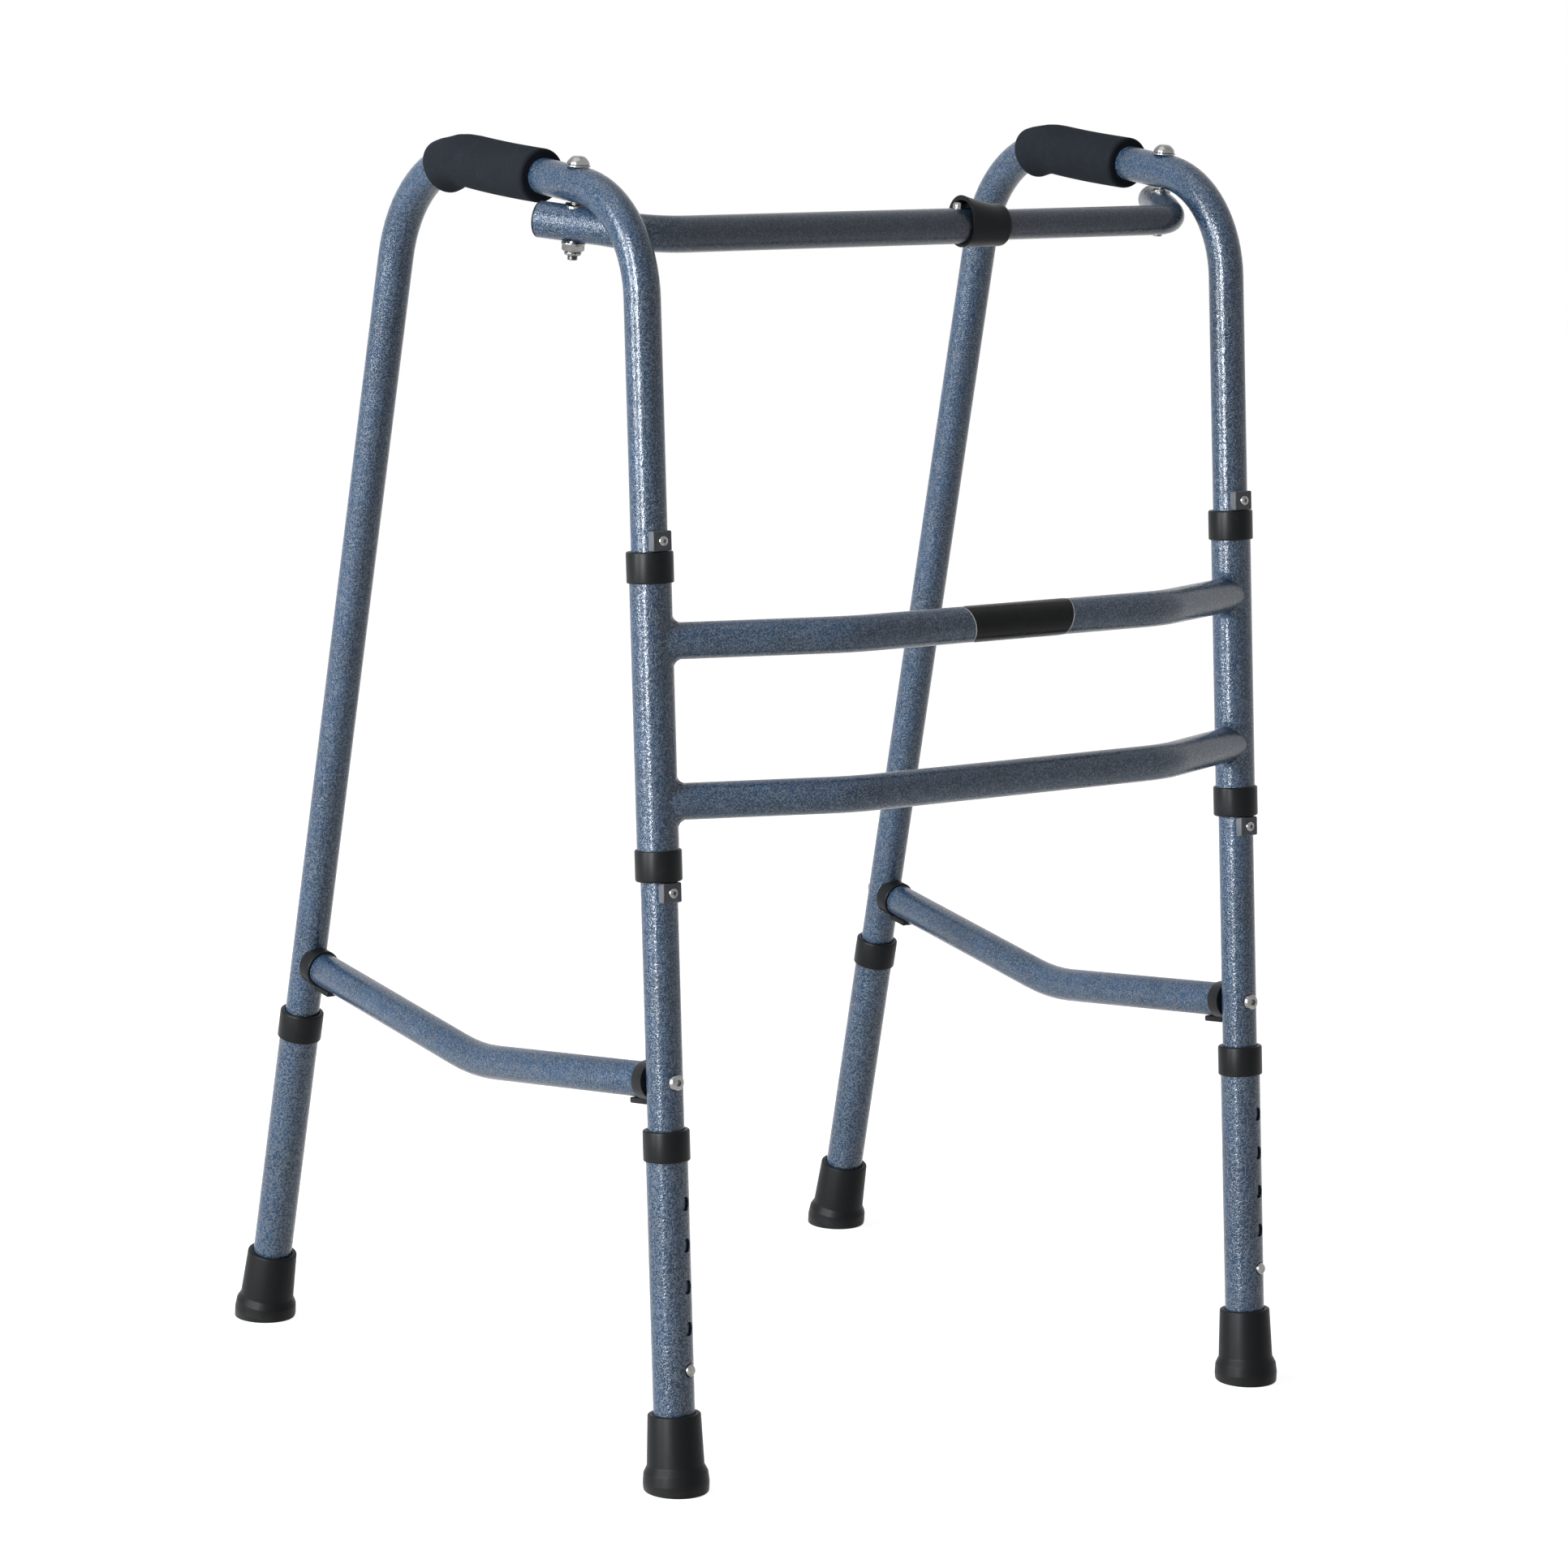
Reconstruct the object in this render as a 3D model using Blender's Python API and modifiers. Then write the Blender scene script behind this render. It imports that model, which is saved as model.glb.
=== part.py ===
"""Folding walker with a telescoping top bar, modelled at its real size.

Metres, +Z up. The walker's front faces -Y and its user stands at +Y.
Left and right are as seen from the front: left is -X.
The origin is on the floor, below the middle of the whole walker.
Each side frame turns about its front leg, inside the sleeves of the front frame.
"""

import math

import bmesh
import bpy
from mathutils import Matrix, Vector

# Overall layout
LEG_SPACING = 0.455
FOOT_DEPTH = 0.461
HANDLE_HEIGHT = 0.7722
FRONT_LEAN = math.radians(5.05)
REAR_LEAN = math.radians(10.8)
SIDE_SPLAY = math.radians(1.4)
HANDLE_RISE = math.radians(4.09)
FRONT_BEND = 0.0688
REAR_BEND = 0.0813

# Tubes
LEG_RADIUS = 0.0111
BAR_RADIUS = 0.0111
CROSSBAR_RADIUS = 0.0111
BRACE_RADIUS = 0.0108
TUBE_WALL = 0.0012
SLIDE_CLEARANCE = 0.0004
SEAT_GAP = 0.0003
COLLAR_CLEARANCE = 0.0005
HOLE_CLEARANCE = 0.0004
SLEEVE_RADIUS = LEG_RADIUS + SLIDE_CLEARANCE + TUBE_WALL
BAR_INNER_RADIUS = BAR_RADIUS - TUBE_WALL - SLIDE_CLEARANCE

# Front frame, as distances up the front leg
UPPER_CROSSBAR_UP = 0.5136
LOWER_CROSSBAR_UP = 0.4175
COLLAR_ABOVE_CROSSBAR = 0.0541
COLLAR_BELOW_CROSSBAR = 0.0470
UPPER_COLLAR_TOP = UPPER_CROSSBAR_UP + COLLAR_ABOVE_CROSSBAR
LOWER_COLLAR_BOTTOM = LOWER_CROSSBAR_UP - COLLAR_BELOW_CROSSBAR
COLLAR_HEIGHT = 0.0190
COLLAR_RADIUS = 0.01425
COLLAR_LIP = 0.0040
COLLAR_CHAMFER = 0.0010
CROSSBAR_BOW = 0.0547
CROSSBAR_END_RUN = 0.1062
CROSSBAR_RISE = 0.0048
CROSSBAR_BEND = 0.070
WELD_RADIUS = 0.0020

# Stop brackets
STOP_WIDTH = 0.0138
STOP_HEIGHT = 0.0120
STOP_PROUD = 0.0025
STOP_DEPTH = 0.0065
STOP_BEVEL = 0.0012
STOP_SCREW_RADIUS = 0.0019
STOP_SCREW_HEAD = 0.0032
STOP_SCREW_HEIGHT = 0.0018
STOP_SCREW_BITE = 0.0030
PAN_HEAD_CROWN = 0.65

# Side brace
BRACE_FRONT_UP = 0.2493
BRACE_REAR_UP = 0.2555
BRACE_DROP = 0.0270
BRACE_BEND = 0.150
BRACE_PLUG = 0.016
SADDLE_RADIUS = 0.0122
SADDLE_START = 0.0080
SADDLE_THICKNESS = 0.0072
TONGUE_LENGTH = 0.0130
TONGUE_WIDTH = 0.0080
TONGUE_THICKNESS = 0.0036
BRACE_BOLT_RADIUS = 0.0030
BRACE_BOLT_HEAD = 0.0052
BRACE_BOLT_RIM = 0.0010
BRACE_BOLT_DOME = 0.0022
BRACE_BOLT_BITE = 0.013

# Legs and feet, as distances up each leg
BUTTON_UP = 0.0745
BUTTON_RADIUS = 0.0039
BUTTON_PROUD = 0.0022
BUTTON_DOME = 0.0013
BUTTON_TURN = math.radians(19.0)
HOLE_PITCH = 0.0254
HOLE_COUNT = 5
LEG_TUBE_TAIL = 0.020
EXTENSION_BOTTOM = 0.0085
LEG_COLLAR_TOP = 0.2206
TIP_TOP = 0.0475
TIP_NECK_RADIUS = 0.0162
TIP_WAIST_RADIUS = 0.0175
TIP_WAIST_UP = 0.0150
TIP_FLARE_RADIUS = 0.0203
TIP_FLARE_UP = 0.0055
TIP_SINK = 0.0008
TIP_ROUND_OFF = 0.0012
TIP_STOCK_BELOW = 0.0120
FLOOR_BLOCK = 0.080
CLIP_LEAF_WIDTH = 0.0064
CLIP_LEAF_THICKNESS = 0.0007
CLIP_LEG_BELOW = 0.0070
CLIP_LEG_ABOVE = 0.0080
CLIP_TOP_UP = 0.0340
CLIP_TOP_HALF = 0.0035
CLIP_TOP_BEND = 0.0028
CLIP_LEG_BEND = 0.0112
CLIP_WALL_GAP = 0.0006

# Grips
GRIP_RADIUS = 0.0165
GRIP_CLEARANCE = 0.0006
GRIP_START = 0.0990
GRIP_BEND_STEPS = 1
GRIP_BEND_REST = 0.30

# Pivots of the top bar
BOLT_BACK = 0.0633
BOLT_RADIUS = 0.0032
BOLT_HEAD_RADIUS = 0.0067
BOLT_FLANGE_RADIUS = 0.0074
BOLT_FLANGE = 0.0011
BOLT_HEAD_HEIGHT = 0.0050
BOLT_SHANK_RECESS = 0.0006
BOLT_FOOT_CHAMFER = 0.0006
BAR_GAP = 0.0015
WASHER_RADIUS = 0.0062
WASHER_THICKNESS = 0.0009
NUT_ACROSS_FLATS = 0.0112
NUT_HEIGHT = 0.0065
NUT_FLANGE_RADIUS = 0.0073
NUT_FLANGE = 0.0012
BOLT_TAIL = 0.0030
BOLT_TAIL_CHAMFER = 0.0010

# Top bar
BAR_SLANT = math.radians(30.0)
BAR_HOOK = 0.0497
BAR_KNEE = 0.0180
BAR_DROP = 0.0042
BAR_LEFT_TIP = 0.0225
BAR_RIGHT_TIP = 0.0260
BAR_LEFT_BEND = 0.045
BAR_RIGHT_BEND = 0.026
BAR_KNEE_BEND = 0.050
LOCK_LEFT_X = 0.0318
LOCK_LENGTH = 0.0315
BAR_MOUTH_X = LOCK_LEFT_X + 0.0160
BAR_OVERLAP = 0.1000
LOCK_RADIUS = 0.0133
LOCK_HOOD_RISE = 0.0058
LOCK_HOOD_LENGTH = 0.0250
LOCK_POCKET_DEPTH = 0.0080
LOCK_POCKET_WALL = 0.0018
LOCK_CORNER = 0.0025
LOCK_BUTTON_LEAD = 0.0029
LOCK_BUTTON_RADIUS = 0.0032
LOCK_BUTTON_PROUD = 0.0036
PLUG_RIM = 0.0014
PLUG_DEPTH = 0.0100

# Smoothness of the solids
TUBE_SIDES = 14
RAIL_SIDES = 12
SMALL_SIDES = 8
HOLE_SIDES = 8
CUTTER_SIDES = 16
BOLT_DOME_STEPS = 3
BUTTON_DOME_STEPS = 2
CUT_REACH = 1.5 * LEG_RADIUS
ARC_STEP = math.radians(18.0)
CLIP_ARC_STEP = math.radians(35.0)
SMOOTH_ANGLE = math.radians(35.0)

SIDES = (("left", -1), ("right", 1))

# Finishes: base colour, roughness, metallic
VEINED_BLUE = ((0.13, 0.20, 0.36), 0.32, 0.55)
SPOTTED_SILVER = ((0.25, 0.30, 0.38), 0.34, 0.60)
SLATE_BLUE = ((0.10, 0.14, 0.22), 0.36, 0.55)
BLACK_PLASTIC = ((0.020, 0.022, 0.025), 0.42, 0.0)
BLACK_RUBBER = ((0.028, 0.028, 0.030), 0.75, 0.0)
GREY_PLASTIC = ((0.11, 0.12, 0.14), 0.45, 0.0)
SLATE_FOAM = ((0.033, 0.038, 0.044), 0.90, 0.0)
BRIGHT_ZINC = ((0.62, 0.62, 0.60), 0.25, 1.0)


def clear_scene():
    """Remove whatever the scene holds."""
    for obj in list(bpy.data.objects):
        bpy.data.objects.remove(obj, do_unlink=True)


def new_collection(name):
    """A collection linked to the scene."""
    collection = bpy.data.collections.new(name)
    bpy.context.scene.collection.children.link(collection)
    return collection


clear_scene()
PARTS = new_collection("folding_walker")
CUTTERS = new_collection("cutters")


# Geometry of the side frame, in its own plane

def on_plane(rearward, upward):
    """A point of the side's plane in the side's own axes, whose Z runs up the front leg."""
    depth = rearward * math.cos(FRONT_LEAN) - upward * math.sin(FRONT_LEAN)
    along = rearward * math.sin(FRONT_LEAN) + upward * math.cos(FRONT_LEAN)
    return Vector((0.0, depth, along))


HANDLE_DIRECTION = on_plane(math.cos(HANDLE_RISE), math.sin(HANDLE_RISE))
HANDLE_NORMAL = on_plane(-math.sin(HANDLE_RISE), math.cos(HANDLE_RISE))
REAR_DIRECTION = on_plane(-math.sin(REAR_LEAN), math.cos(REAR_LEAN))
REAR_FOOT = on_plane(FOOT_DEPTH, 0.0)
PLANE_DOWN = on_plane(0.0, -1.0)
FRONT_CORNER = Vector((0.0, 0.0, HANDLE_HEIGHT / math.cos(FRONT_LEAN)))


def rear_corner():
    """Where the line of the handle meets the line of the rear leg."""
    to_foot = REAR_FOOT - FRONT_CORNER
    cross = HANDLE_DIRECTION.y * REAR_DIRECTION.z - HANDLE_DIRECTION.z * REAR_DIRECTION.y
    along = (to_foot.y * REAR_DIRECTION.z - to_foot.z * REAR_DIRECTION.y) / cross
    return FRONT_CORNER + HANDLE_DIRECTION * along


REAR_CORNER = rear_corner()
BRACE_FRONT = Vector((0.0, 0.0, BRACE_FRONT_UP))
BRACE_REAR = REAR_FOOT + REAR_DIRECTION * BRACE_REAR_UP
BRACE_MIDDLE = (BRACE_FRONT + BRACE_REAR) / 2 + PLANE_DOWN * BRACE_DROP
BOLT_POINT = FRONT_CORNER + HANDLE_DIRECTION * BOLT_BACK


def walker_middle():
    """How far behind the front feet the middle of the walker's depth lies."""
    front = LOWER_CROSSBAR_UP * math.sin(FRONT_LEAN) - CROSSBAR_BOW - CROSSBAR_RADIUS
    back = FOOT_DEPTH + TIP_FLARE_RADIUS / math.cos(REAR_LEAN)
    return (front + back) / 2


FRONT_FOOT_Y = -walker_middle()


def leg_axis_matrix(sign):
    """Axes of one front leg: origin at its foot on the floor, Z up the leg."""
    foot = Matrix.Translation((sign * LEG_SPACING / 2, FRONT_FOOT_Y, 0.0))
    return foot @ Matrix.Rotation(-FRONT_LEAN, 4, "X")


def side_matrix(sign):
    """Axes of one side frame: the front leg's, turned outward by the splay."""
    return leg_axis_matrix(sign) @ Matrix.Rotation(-sign * SIDE_SPLAY, 4, "Z")


def rear_matrix():
    """Axes of the rear leg within the side frame."""
    return Matrix.Translation(REAR_FOOT) @ Matrix.Rotation(FRONT_LEAN + REAR_LEAN, 4, "X")


def axis_matrix(origin, direction):
    """Axes whose Z runs along a direction of the side's plane."""
    turn = direction.to_track_quat("Z", "X").to_matrix().to_4x4()
    return Matrix.Translation(origin) @ turn


def rounded_path(corners, radii, arc_step=ARC_STEP):
    """Points of straight runs whose inner corners are rounded by arcs."""
    points = [corners[0]]
    for before, corner, after, radius in zip(corners, corners[1:], corners[2:], radii):
        arrive = (corner - before).normalized()
        leave = (after - corner).normalized()
        turn = arrive.angle(leave)
        steps = max(2, math.ceil(turn / arc_step))
        inward = (leave - arrive * arrive.dot(leave)).normalized()
        centre = corner - arrive * radius * math.tan(turn / 2) + inward * radius
        for step in range(steps + 1):
            angle = turn * step / steps
            along = arrive * radius * math.sin(angle)
            points.append(centre - inward * radius * math.cos(angle) + along)
    points.append(corners[-1])
    return points


# Making and joining solids

def new_empty(name, parent, local):
    """An empty that carries pieces and joint axes."""
    empty = bpy.data.objects.new(name, None)
    empty.empty_display_size = 0.03
    PARTS.objects.link(empty)
    place(empty, parent, local)
    return empty


def place(obj, parent, local):
    """Put an object in its parent's axes."""
    obj.parent = parent
    obj.matrix_local = local


def new_object(name, mesh, parent, local, collection=None):
    """An object for a mesh, in a collection and in its parent's axes."""
    obj = bpy.data.objects.new(name, mesh)
    (collection or PARTS).objects.link(obj)
    place(obj, parent, local)
    return obj


def finish(obj, look):
    """Give a part its own material and smooth shading."""
    colour, roughness, metallic = look
    material = bpy.data.materials.new(obj.name + "_finish")
    material.use_nodes = True
    shader = material.node_tree.nodes["Principled BSDF"]
    shader.inputs["Base Color"].default_value = (*colour, 1.0)
    shader.inputs["Roughness"].default_value = roughness
    shader.inputs["Metallic"].default_value = metallic
    material.diffuse_color = (*colour, 1.0)
    obj.data.materials.append(material)
    obj.data.shade_smooth()
    obj.data.set_sharp_from_angle(angle=SMOOTH_ANGLE)


def as_cutter(obj):
    """Mark an object as a cutter, kept out of the finished model."""
    obj.hide_render = True
    obj.display_type = "WIRE"
    return obj


def combine(obj, other, operation):
    """Cut, join or intersect an object with another one."""
    modifier = obj.modifiers.new(operation.lower(), "BOOLEAN")
    modifier.operation = operation
    modifier.object = other
    modifier.solver = "EXACT"


def add_wall(obj, thickness, offset):
    """Give an open surface its wall."""
    modifier = obj.modifiers.new("wall", "SOLIDIFY")
    modifier.thickness = thickness
    modifier.offset = offset
    modifier.use_even_offset = True


def round_edges(obj, width):
    """Bevel the sharp edges of a solid."""
    modifier = obj.modifiers.new("edges", "BEVEL")
    modifier.width = width
    modifier.segments = 1
    modifier.limit_method = "ANGLE"
    modifier.angle_limit = SMOOTH_ANGLE


def tube_mesh(name, points, radius, sides, capped):
    """The mesh of a round tube along a path, made from a bevelled curve."""
    data = bpy.data.curves.new(name, "CURVE")
    data.dimensions = "3D"
    data.bevel_depth = radius
    data.bevel_resolution = (sides - 4) // 2
    data.use_fill_caps = capped
    spline = data.splines.new("POLY")
    spline.points.add(len(points) - 1)
    for target, point in zip(spline.points, points):
        target.co = (*point, 1.0)
    curve = bpy.data.objects.new(name, data)
    bpy.context.scene.collection.objects.link(curve)
    bpy.context.view_layer.update()
    depsgraph = bpy.context.evaluated_depsgraph_get()
    mesh = bpy.data.meshes.new_from_object(curve.evaluated_get(depsgraph))
    bpy.data.objects.remove(curve, do_unlink=True)
    mesh.name = name
    shape = bmesh.new()
    shape.from_mesh(mesh)
    bmesh.ops.remove_doubles(shape, verts=shape.verts, dist=0.00001)
    bmesh.ops.recalc_face_normals(shape, faces=shape.faces)
    shape.to_mesh(mesh)
    shape.free()
    return mesh


def hollow_tube(name, points, radius, wall, parent, local, sides=TUBE_SIDES):
    """An open-ended tube along a path."""
    mesh = tube_mesh(name, points, radius, sides, False)
    obj = new_object(name, mesh, parent, local)
    add_wall(obj, wall, -1.0)
    return obj


def turned_mesh(name, profile, steps, closed):
    """A turned shape: a profile in X and Z, its outer side running down, turned about Z."""
    shape = bmesh.new()
    verts = [shape.verts.new((across, 0.0, up)) for across, up in profile]
    for first, second in zip(verts, verts[1:]):
        shape.edges.new((first, second))
    if closed:
        shape.edges.new((verts[-1], verts[0]))
    mesh = bpy.data.meshes.new(name)
    shape.to_mesh(mesh)
    shape.free()
    carrier = bpy.data.objects.new(name, mesh)
    bpy.context.scene.collection.objects.link(carrier)
    screw = carrier.modifiers.new("turn", "SCREW")
    screw.axis = "Z"
    screw.angle = math.tau
    screw.steps = steps
    screw.render_steps = steps
    screw.use_merge_vertices = True
    screw.merge_threshold = 0.00001
    bpy.context.view_layer.update()
    depsgraph = bpy.context.evaluated_depsgraph_get()
    turned = bpy.data.meshes.new_from_object(carrier.evaluated_get(depsgraph))
    bpy.data.objects.remove(carrier, do_unlink=True)
    turned.name = name
    return turned


def turned(name, profile, parent, local, steps=TUBE_SIDES, closed=False, collection=None):
    """A turned part."""
    mesh = turned_mesh(name, profile, steps, closed)
    return new_object(name, mesh, parent, local, collection)


def rods(name, parent, runs, sides=HOLE_SIDES):
    """A cutter of straight round rods, each from a start to an end with a radius."""
    shape = bmesh.new()
    for start, end, radius in runs:
        axis = end - start
        turn = axis.to_track_quat("Z", "Y").to_matrix().to_4x4()
        middle = Matrix.Translation((start + end) / 2)
        bmesh.ops.create_cone(shape, cap_ends=True, segments=sides, radius1=radius,
                              radius2=radius, depth=axis.length, matrix=middle @ turn)
    mesh = bpy.data.meshes.new(name)
    shape.to_mesh(mesh)
    shape.free()
    return as_cutter(new_object(name, mesh, parent, Matrix(), CUTTERS))


def block(name, low, high, parent, local, collection=None):
    """A box from its lowest to its highest corner."""
    size = high - low
    shape = bmesh.new()
    fit = Matrix.Translation((low + high) / 2) @ Matrix.Diagonal((*size, 1.0))
    bmesh.ops.create_cube(shape, size=1.0, matrix=fit)
    mesh = bpy.data.meshes.new(name)
    shape.to_mesh(mesh)
    shape.free()
    return new_object(name, mesh, parent, local, collection)


def through(centre, direction, reach, radius):
    """A rod that runs the same way out from both sides of a point."""
    return (centre - direction * reach, centre + direction * reach, radius)


def dome(radius, base, height, steps):
    """Profile of a dome from its crown out to its rim."""
    angles = [math.pi / 2 * step / steps for step in range(steps + 1)]
    return [(radius * math.sin(angle), base + height * math.cos(angle)) for angle in angles]


# Side frames

def make_side_tube(label, axes):
    """Front leg, handle and rear leg: one bent tube with its bolt, screw and button holes."""
    tail = BUTTON_UP - LEG_TUBE_TAIL
    corners = [Vector((0.0, 0.0, tail)), FRONT_CORNER, REAR_CORNER, REAR_FOOT + REAR_DIRECTION * tail]
    path = rounded_path(corners, (FRONT_BEND, REAR_BEND))
    tube = hollow_tube("side_frame_" + label, path, LEG_RADIUS, TUBE_WALL, axes, Matrix())
    reach = CUT_REACH
    holes = [through(BOLT_POINT, HANDLE_NORMAL, reach, BOLT_RADIUS + HOLE_CLEARANCE)]
    for up in stop_heights():
        outside = Vector((0.0, -reach, up))
        holes.append((outside, Vector((0.0, -LEG_RADIUS / 2, up)), STOP_SCREW_RADIUS + HOLE_CLEARANCE))
    for start in (BRACE_FRONT, BRACE_REAR):
        toward = (BRACE_MIDDLE - start).normalized()
        holes.append(through(start, toward, reach, BRACE_BOLT_RADIUS + HOLE_CLEARANCE))
    front_way = button_direction("front")
    front_button = Vector((0.0, 0.0, BUTTON_UP))
    holes.append((front_button, front_button + front_way * reach, BUTTON_RADIUS + HOLE_CLEARANCE))
    rear_way = rear_matrix().to_3x3() @ button_direction("rear")
    rear_button = REAR_FOOT + REAR_DIRECTION * BUTTON_UP
    holes.append((rear_button, rear_button + rear_way * reach, BUTTON_RADIUS + HOLE_CLEARANCE))
    combine(tube, rods("side_frame_holes_" + label, axes, holes), "DIFFERENCE")
    finish(tube, VEINED_BLUE)


def stop_heights():
    """Middle heights of the lower and the upper stop bracket on the front leg."""
    half = STOP_HEIGHT / 2 + SEAT_GAP
    return (LOWER_COLLAR_BOTTOM - half, UPPER_COLLAR_TOP + half)


def button_direction(end):
    """Which way a leg's snap button points, across its leg."""
    if end == "front":
        return Vector((math.sin(BUTTON_TURN), -math.cos(BUTTON_TURN), 0.0))
    return Vector((0.0, 1.0, 0.0))


def make_grip(label, axes):
    """Foam grip along the rear of the handle and into the rear bend."""
    path = rounded_path([FRONT_CORNER + HANDLE_DIRECTION * GRIP_START, REAR_CORNER, REAR_FOOT],
                        (REAR_BEND,))
    covered = path[:GRIP_BEND_STEPS + 2]
    covered.append(covered[-1].lerp(path[GRIP_BEND_STEPS + 2], GRIP_BEND_REST))
    wall = GRIP_RADIUS - LEG_RADIUS - GRIP_CLEARANCE
    grip = hollow_tube("grip_" + label, covered, GRIP_RADIUS, wall, axes, Matrix())
    finish(grip, SLATE_FOAM)


def make_stops(label, axes):
    """Bracket and screw above and below the sleeve, which keep the leg from sliding in it."""
    leg_room = rods("stop_leg_room_" + label, axes,
                    [(Vector((0.0, 0.0, LOWER_COLLAR_BOTTOM - 2 * STOP_HEIGHT)),
                      Vector((0.0, 0.0, UPPER_COLLAR_TOP + 2 * STOP_HEIGHT)),
                      LEG_RADIUS + SEAT_GAP)], CUTTER_SIDES)
    for level, up in zip(("lower", "upper"), stop_heights()):
        face = LEG_RADIUS + STOP_PROUD
        bracket = block(level + "_stop_" + label,
                        Vector((-STOP_WIDTH / 2, -face, up - STOP_HEIGHT / 2)),
                        Vector((STOP_WIDTH / 2, STOP_DEPTH - face, up + STOP_HEIGHT / 2)), axes, Matrix())
        round_edges(bracket, STOP_BEVEL)
        combine(bracket, leg_room, "DIFFERENCE")
        hole = rods(level + "_stop_hole_" + label, axes,
                    [(Vector((0.0, -2 * face, up)), Vector((0.0, 0.0, up)),
                      STOP_SCREW_RADIUS + HOLE_CLEARANCE)])
        combine(bracket, hole, "DIFFERENCE")
        finish(bracket, GREY_PLASTIC)
        make_stop_screw(level + "_stop_screw_" + label, axes, up, face)


def make_stop_screw(name, axes, up, face):
    """Pan-head screw through the bracket into the leg tube."""
    seat = face + SEAT_GAP
    top = seat + STOP_SCREW_HEIGHT
    tip = LEG_RADIUS - STOP_SCREW_BITE
    head = STOP_SCREW_HEAD
    crown = head * PAN_HEAD_CROWN
    profile = [(0.0, top), (crown, top), (head, top - STOP_SCREW_HEIGHT / 3), (head, seat),
               (STOP_SCREW_RADIUS, seat), (STOP_SCREW_RADIUS, tip), (0.0, tip)]
    outward = axis_matrix(Vector((0.0, 0.0, up)), Vector((0.0, -1.0, 0.0)))
    finish(turned(name, profile, axes, outward, SMALL_SIDES), BRIGHT_ZINC)


def brace_end_face():
    """Distance from a leg's axis to the face of the brace's end."""
    return LEG_RADIUS + SADDLE_THICKNESS + SEAT_GAP


def make_brace(label, axes):
    """Drooping side rail: a tube with a bored plug in each end."""
    front_way = (BRACE_MIDDLE - BRACE_FRONT).normalized()
    rear_way = (BRACE_MIDDLE - BRACE_REAR).normalized()
    face = brace_end_face()
    name = "side_brace_" + label
    outer = rounded_path([BRACE_FRONT + front_way * face, BRACE_MIDDLE, BRACE_REAR + rear_way * face],
                         (BRACE_BEND,))
    rail = new_object(name, tube_mesh(name, outer, BRACE_RADIUS, RAIL_SIDES, True), axes, Matrix())
    deep = face + BRACE_PLUG
    inner = rounded_path([BRACE_FRONT + front_way * deep, BRACE_MIDDLE, BRACE_REAR + rear_way * deep],
                         (BRACE_BEND,))
    hollow_mesh = tube_mesh("brace_hollow_" + label, inner, BRACE_RADIUS - TUBE_WALL, RAIL_SIDES, True)
    hollow = as_cutter(new_object("brace_hollow_" + label, hollow_mesh, axes, Matrix(), CUTTERS))
    combine(rail, hollow, "DIFFERENCE")
    bore = BRACE_BOLT_RADIUS + HOLE_CLEARANCE
    bores = [(start, start + way * (deep + BRACE_PLUG), bore)
             for start, way in ((BRACE_FRONT, front_way), (BRACE_REAR, rear_way))]
    combine(rail, rods("brace_bores_" + label, axes, bores), "DIFFERENCE")
    finish(rail, VEINED_BLUE)


def make_brace_end(label, end, axes, start, leg_way):
    """Saddle washer and bolt that hold one end of the brace to its leg."""
    toward = (BRACE_MIDDLE - start).normalized()
    local = axis_matrix(start, toward)
    bore = BRACE_BOLT_RADIUS + HOLE_CLEARANCE
    outer_face = LEG_RADIUS + SADDLE_THICKNESS
    profile = [(SADDLE_RADIUS, outer_face), (SADDLE_RADIUS, SADDLE_START),
               (bore, SADDLE_START), (bore, outer_face)]
    saddle = turned("brace_saddle_{}_{}".format(end, label), profile, axes, local, closed=True)
    tongue = make_tongue("tongue_{}_{}".format(end, label), axes, start, toward)
    combine(saddle, tongue, "UNION")
    leg_room = rods("saddle_room_{}_{}".format(end, label), axes,
                    [through(start, leg_way, 2 * SADDLE_RADIUS, LEG_RADIUS + SEAT_GAP)], CUTTER_SIDES)
    combine(saddle, leg_room, "DIFFERENCE")
    finish(saddle, GREY_PLASTIC)

    seat = -(LEG_RADIUS + SEAT_GAP)
    tip = brace_end_face() + BRACE_BOLT_BITE
    head = reversed(dome(BRACE_BOLT_HEAD, seat - BRACE_BOLT_RIM, -BRACE_BOLT_DOME, BOLT_DOME_STEPS))
    profile = [(0.0, tip), (BRACE_BOLT_RADIUS, tip), (BRACE_BOLT_RADIUS, seat),
               (BRACE_BOLT_HEAD, seat), *head]
    bolt = turned("brace_bolt_{}_{}".format(end, label), profile, axes, local, SMALL_SIDES)
    finish(bolt, BRIGHT_ZINC)


def make_tongue(name, axes, start, toward):
    """Tongue of a saddle, which lies under the end of the brace."""
    under = PLANE_DOWN - toward * PLANE_DOWN.dot(toward)
    under.normalize()
    top = BRACE_RADIUS + SEAT_GAP
    begin = start + toward * (LEG_RADIUS + SADDLE_THICKNESS / 2) + under * top
    end = start + toward * (brace_end_face() + TONGUE_LENGTH) + under * (top + TONGUE_THICKNESS)
    low = Vector((-TONGUE_WIDTH / 2, 0.0, 0.0))
    high = Vector((TONGUE_WIDTH / 2, (end - begin).dot(under), (end - begin).dot(toward)))
    turn = Matrix((Vector((1.0, 0.0, 0.0)), under, toward)).transposed().to_4x4()
    tongue = block(name, low, high, axes, Matrix.Translation(begin) @ turn, CUTTERS)
    return as_cutter(tongue)


# Legs and feet

def make_leg(corner, axes, end):
    """Sliding extension with its collar, snap clip and rubber tip, in the leg's own axes."""
    way = button_direction(end)
    make_extension(corner, axes, way)
    make_collar("leg_collar_" + corner, axes, LEG_COLLAR_TOP, 1)
    make_leg_clip(corner, axes, way)
    make_rubber_tip(corner, axes)


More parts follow.
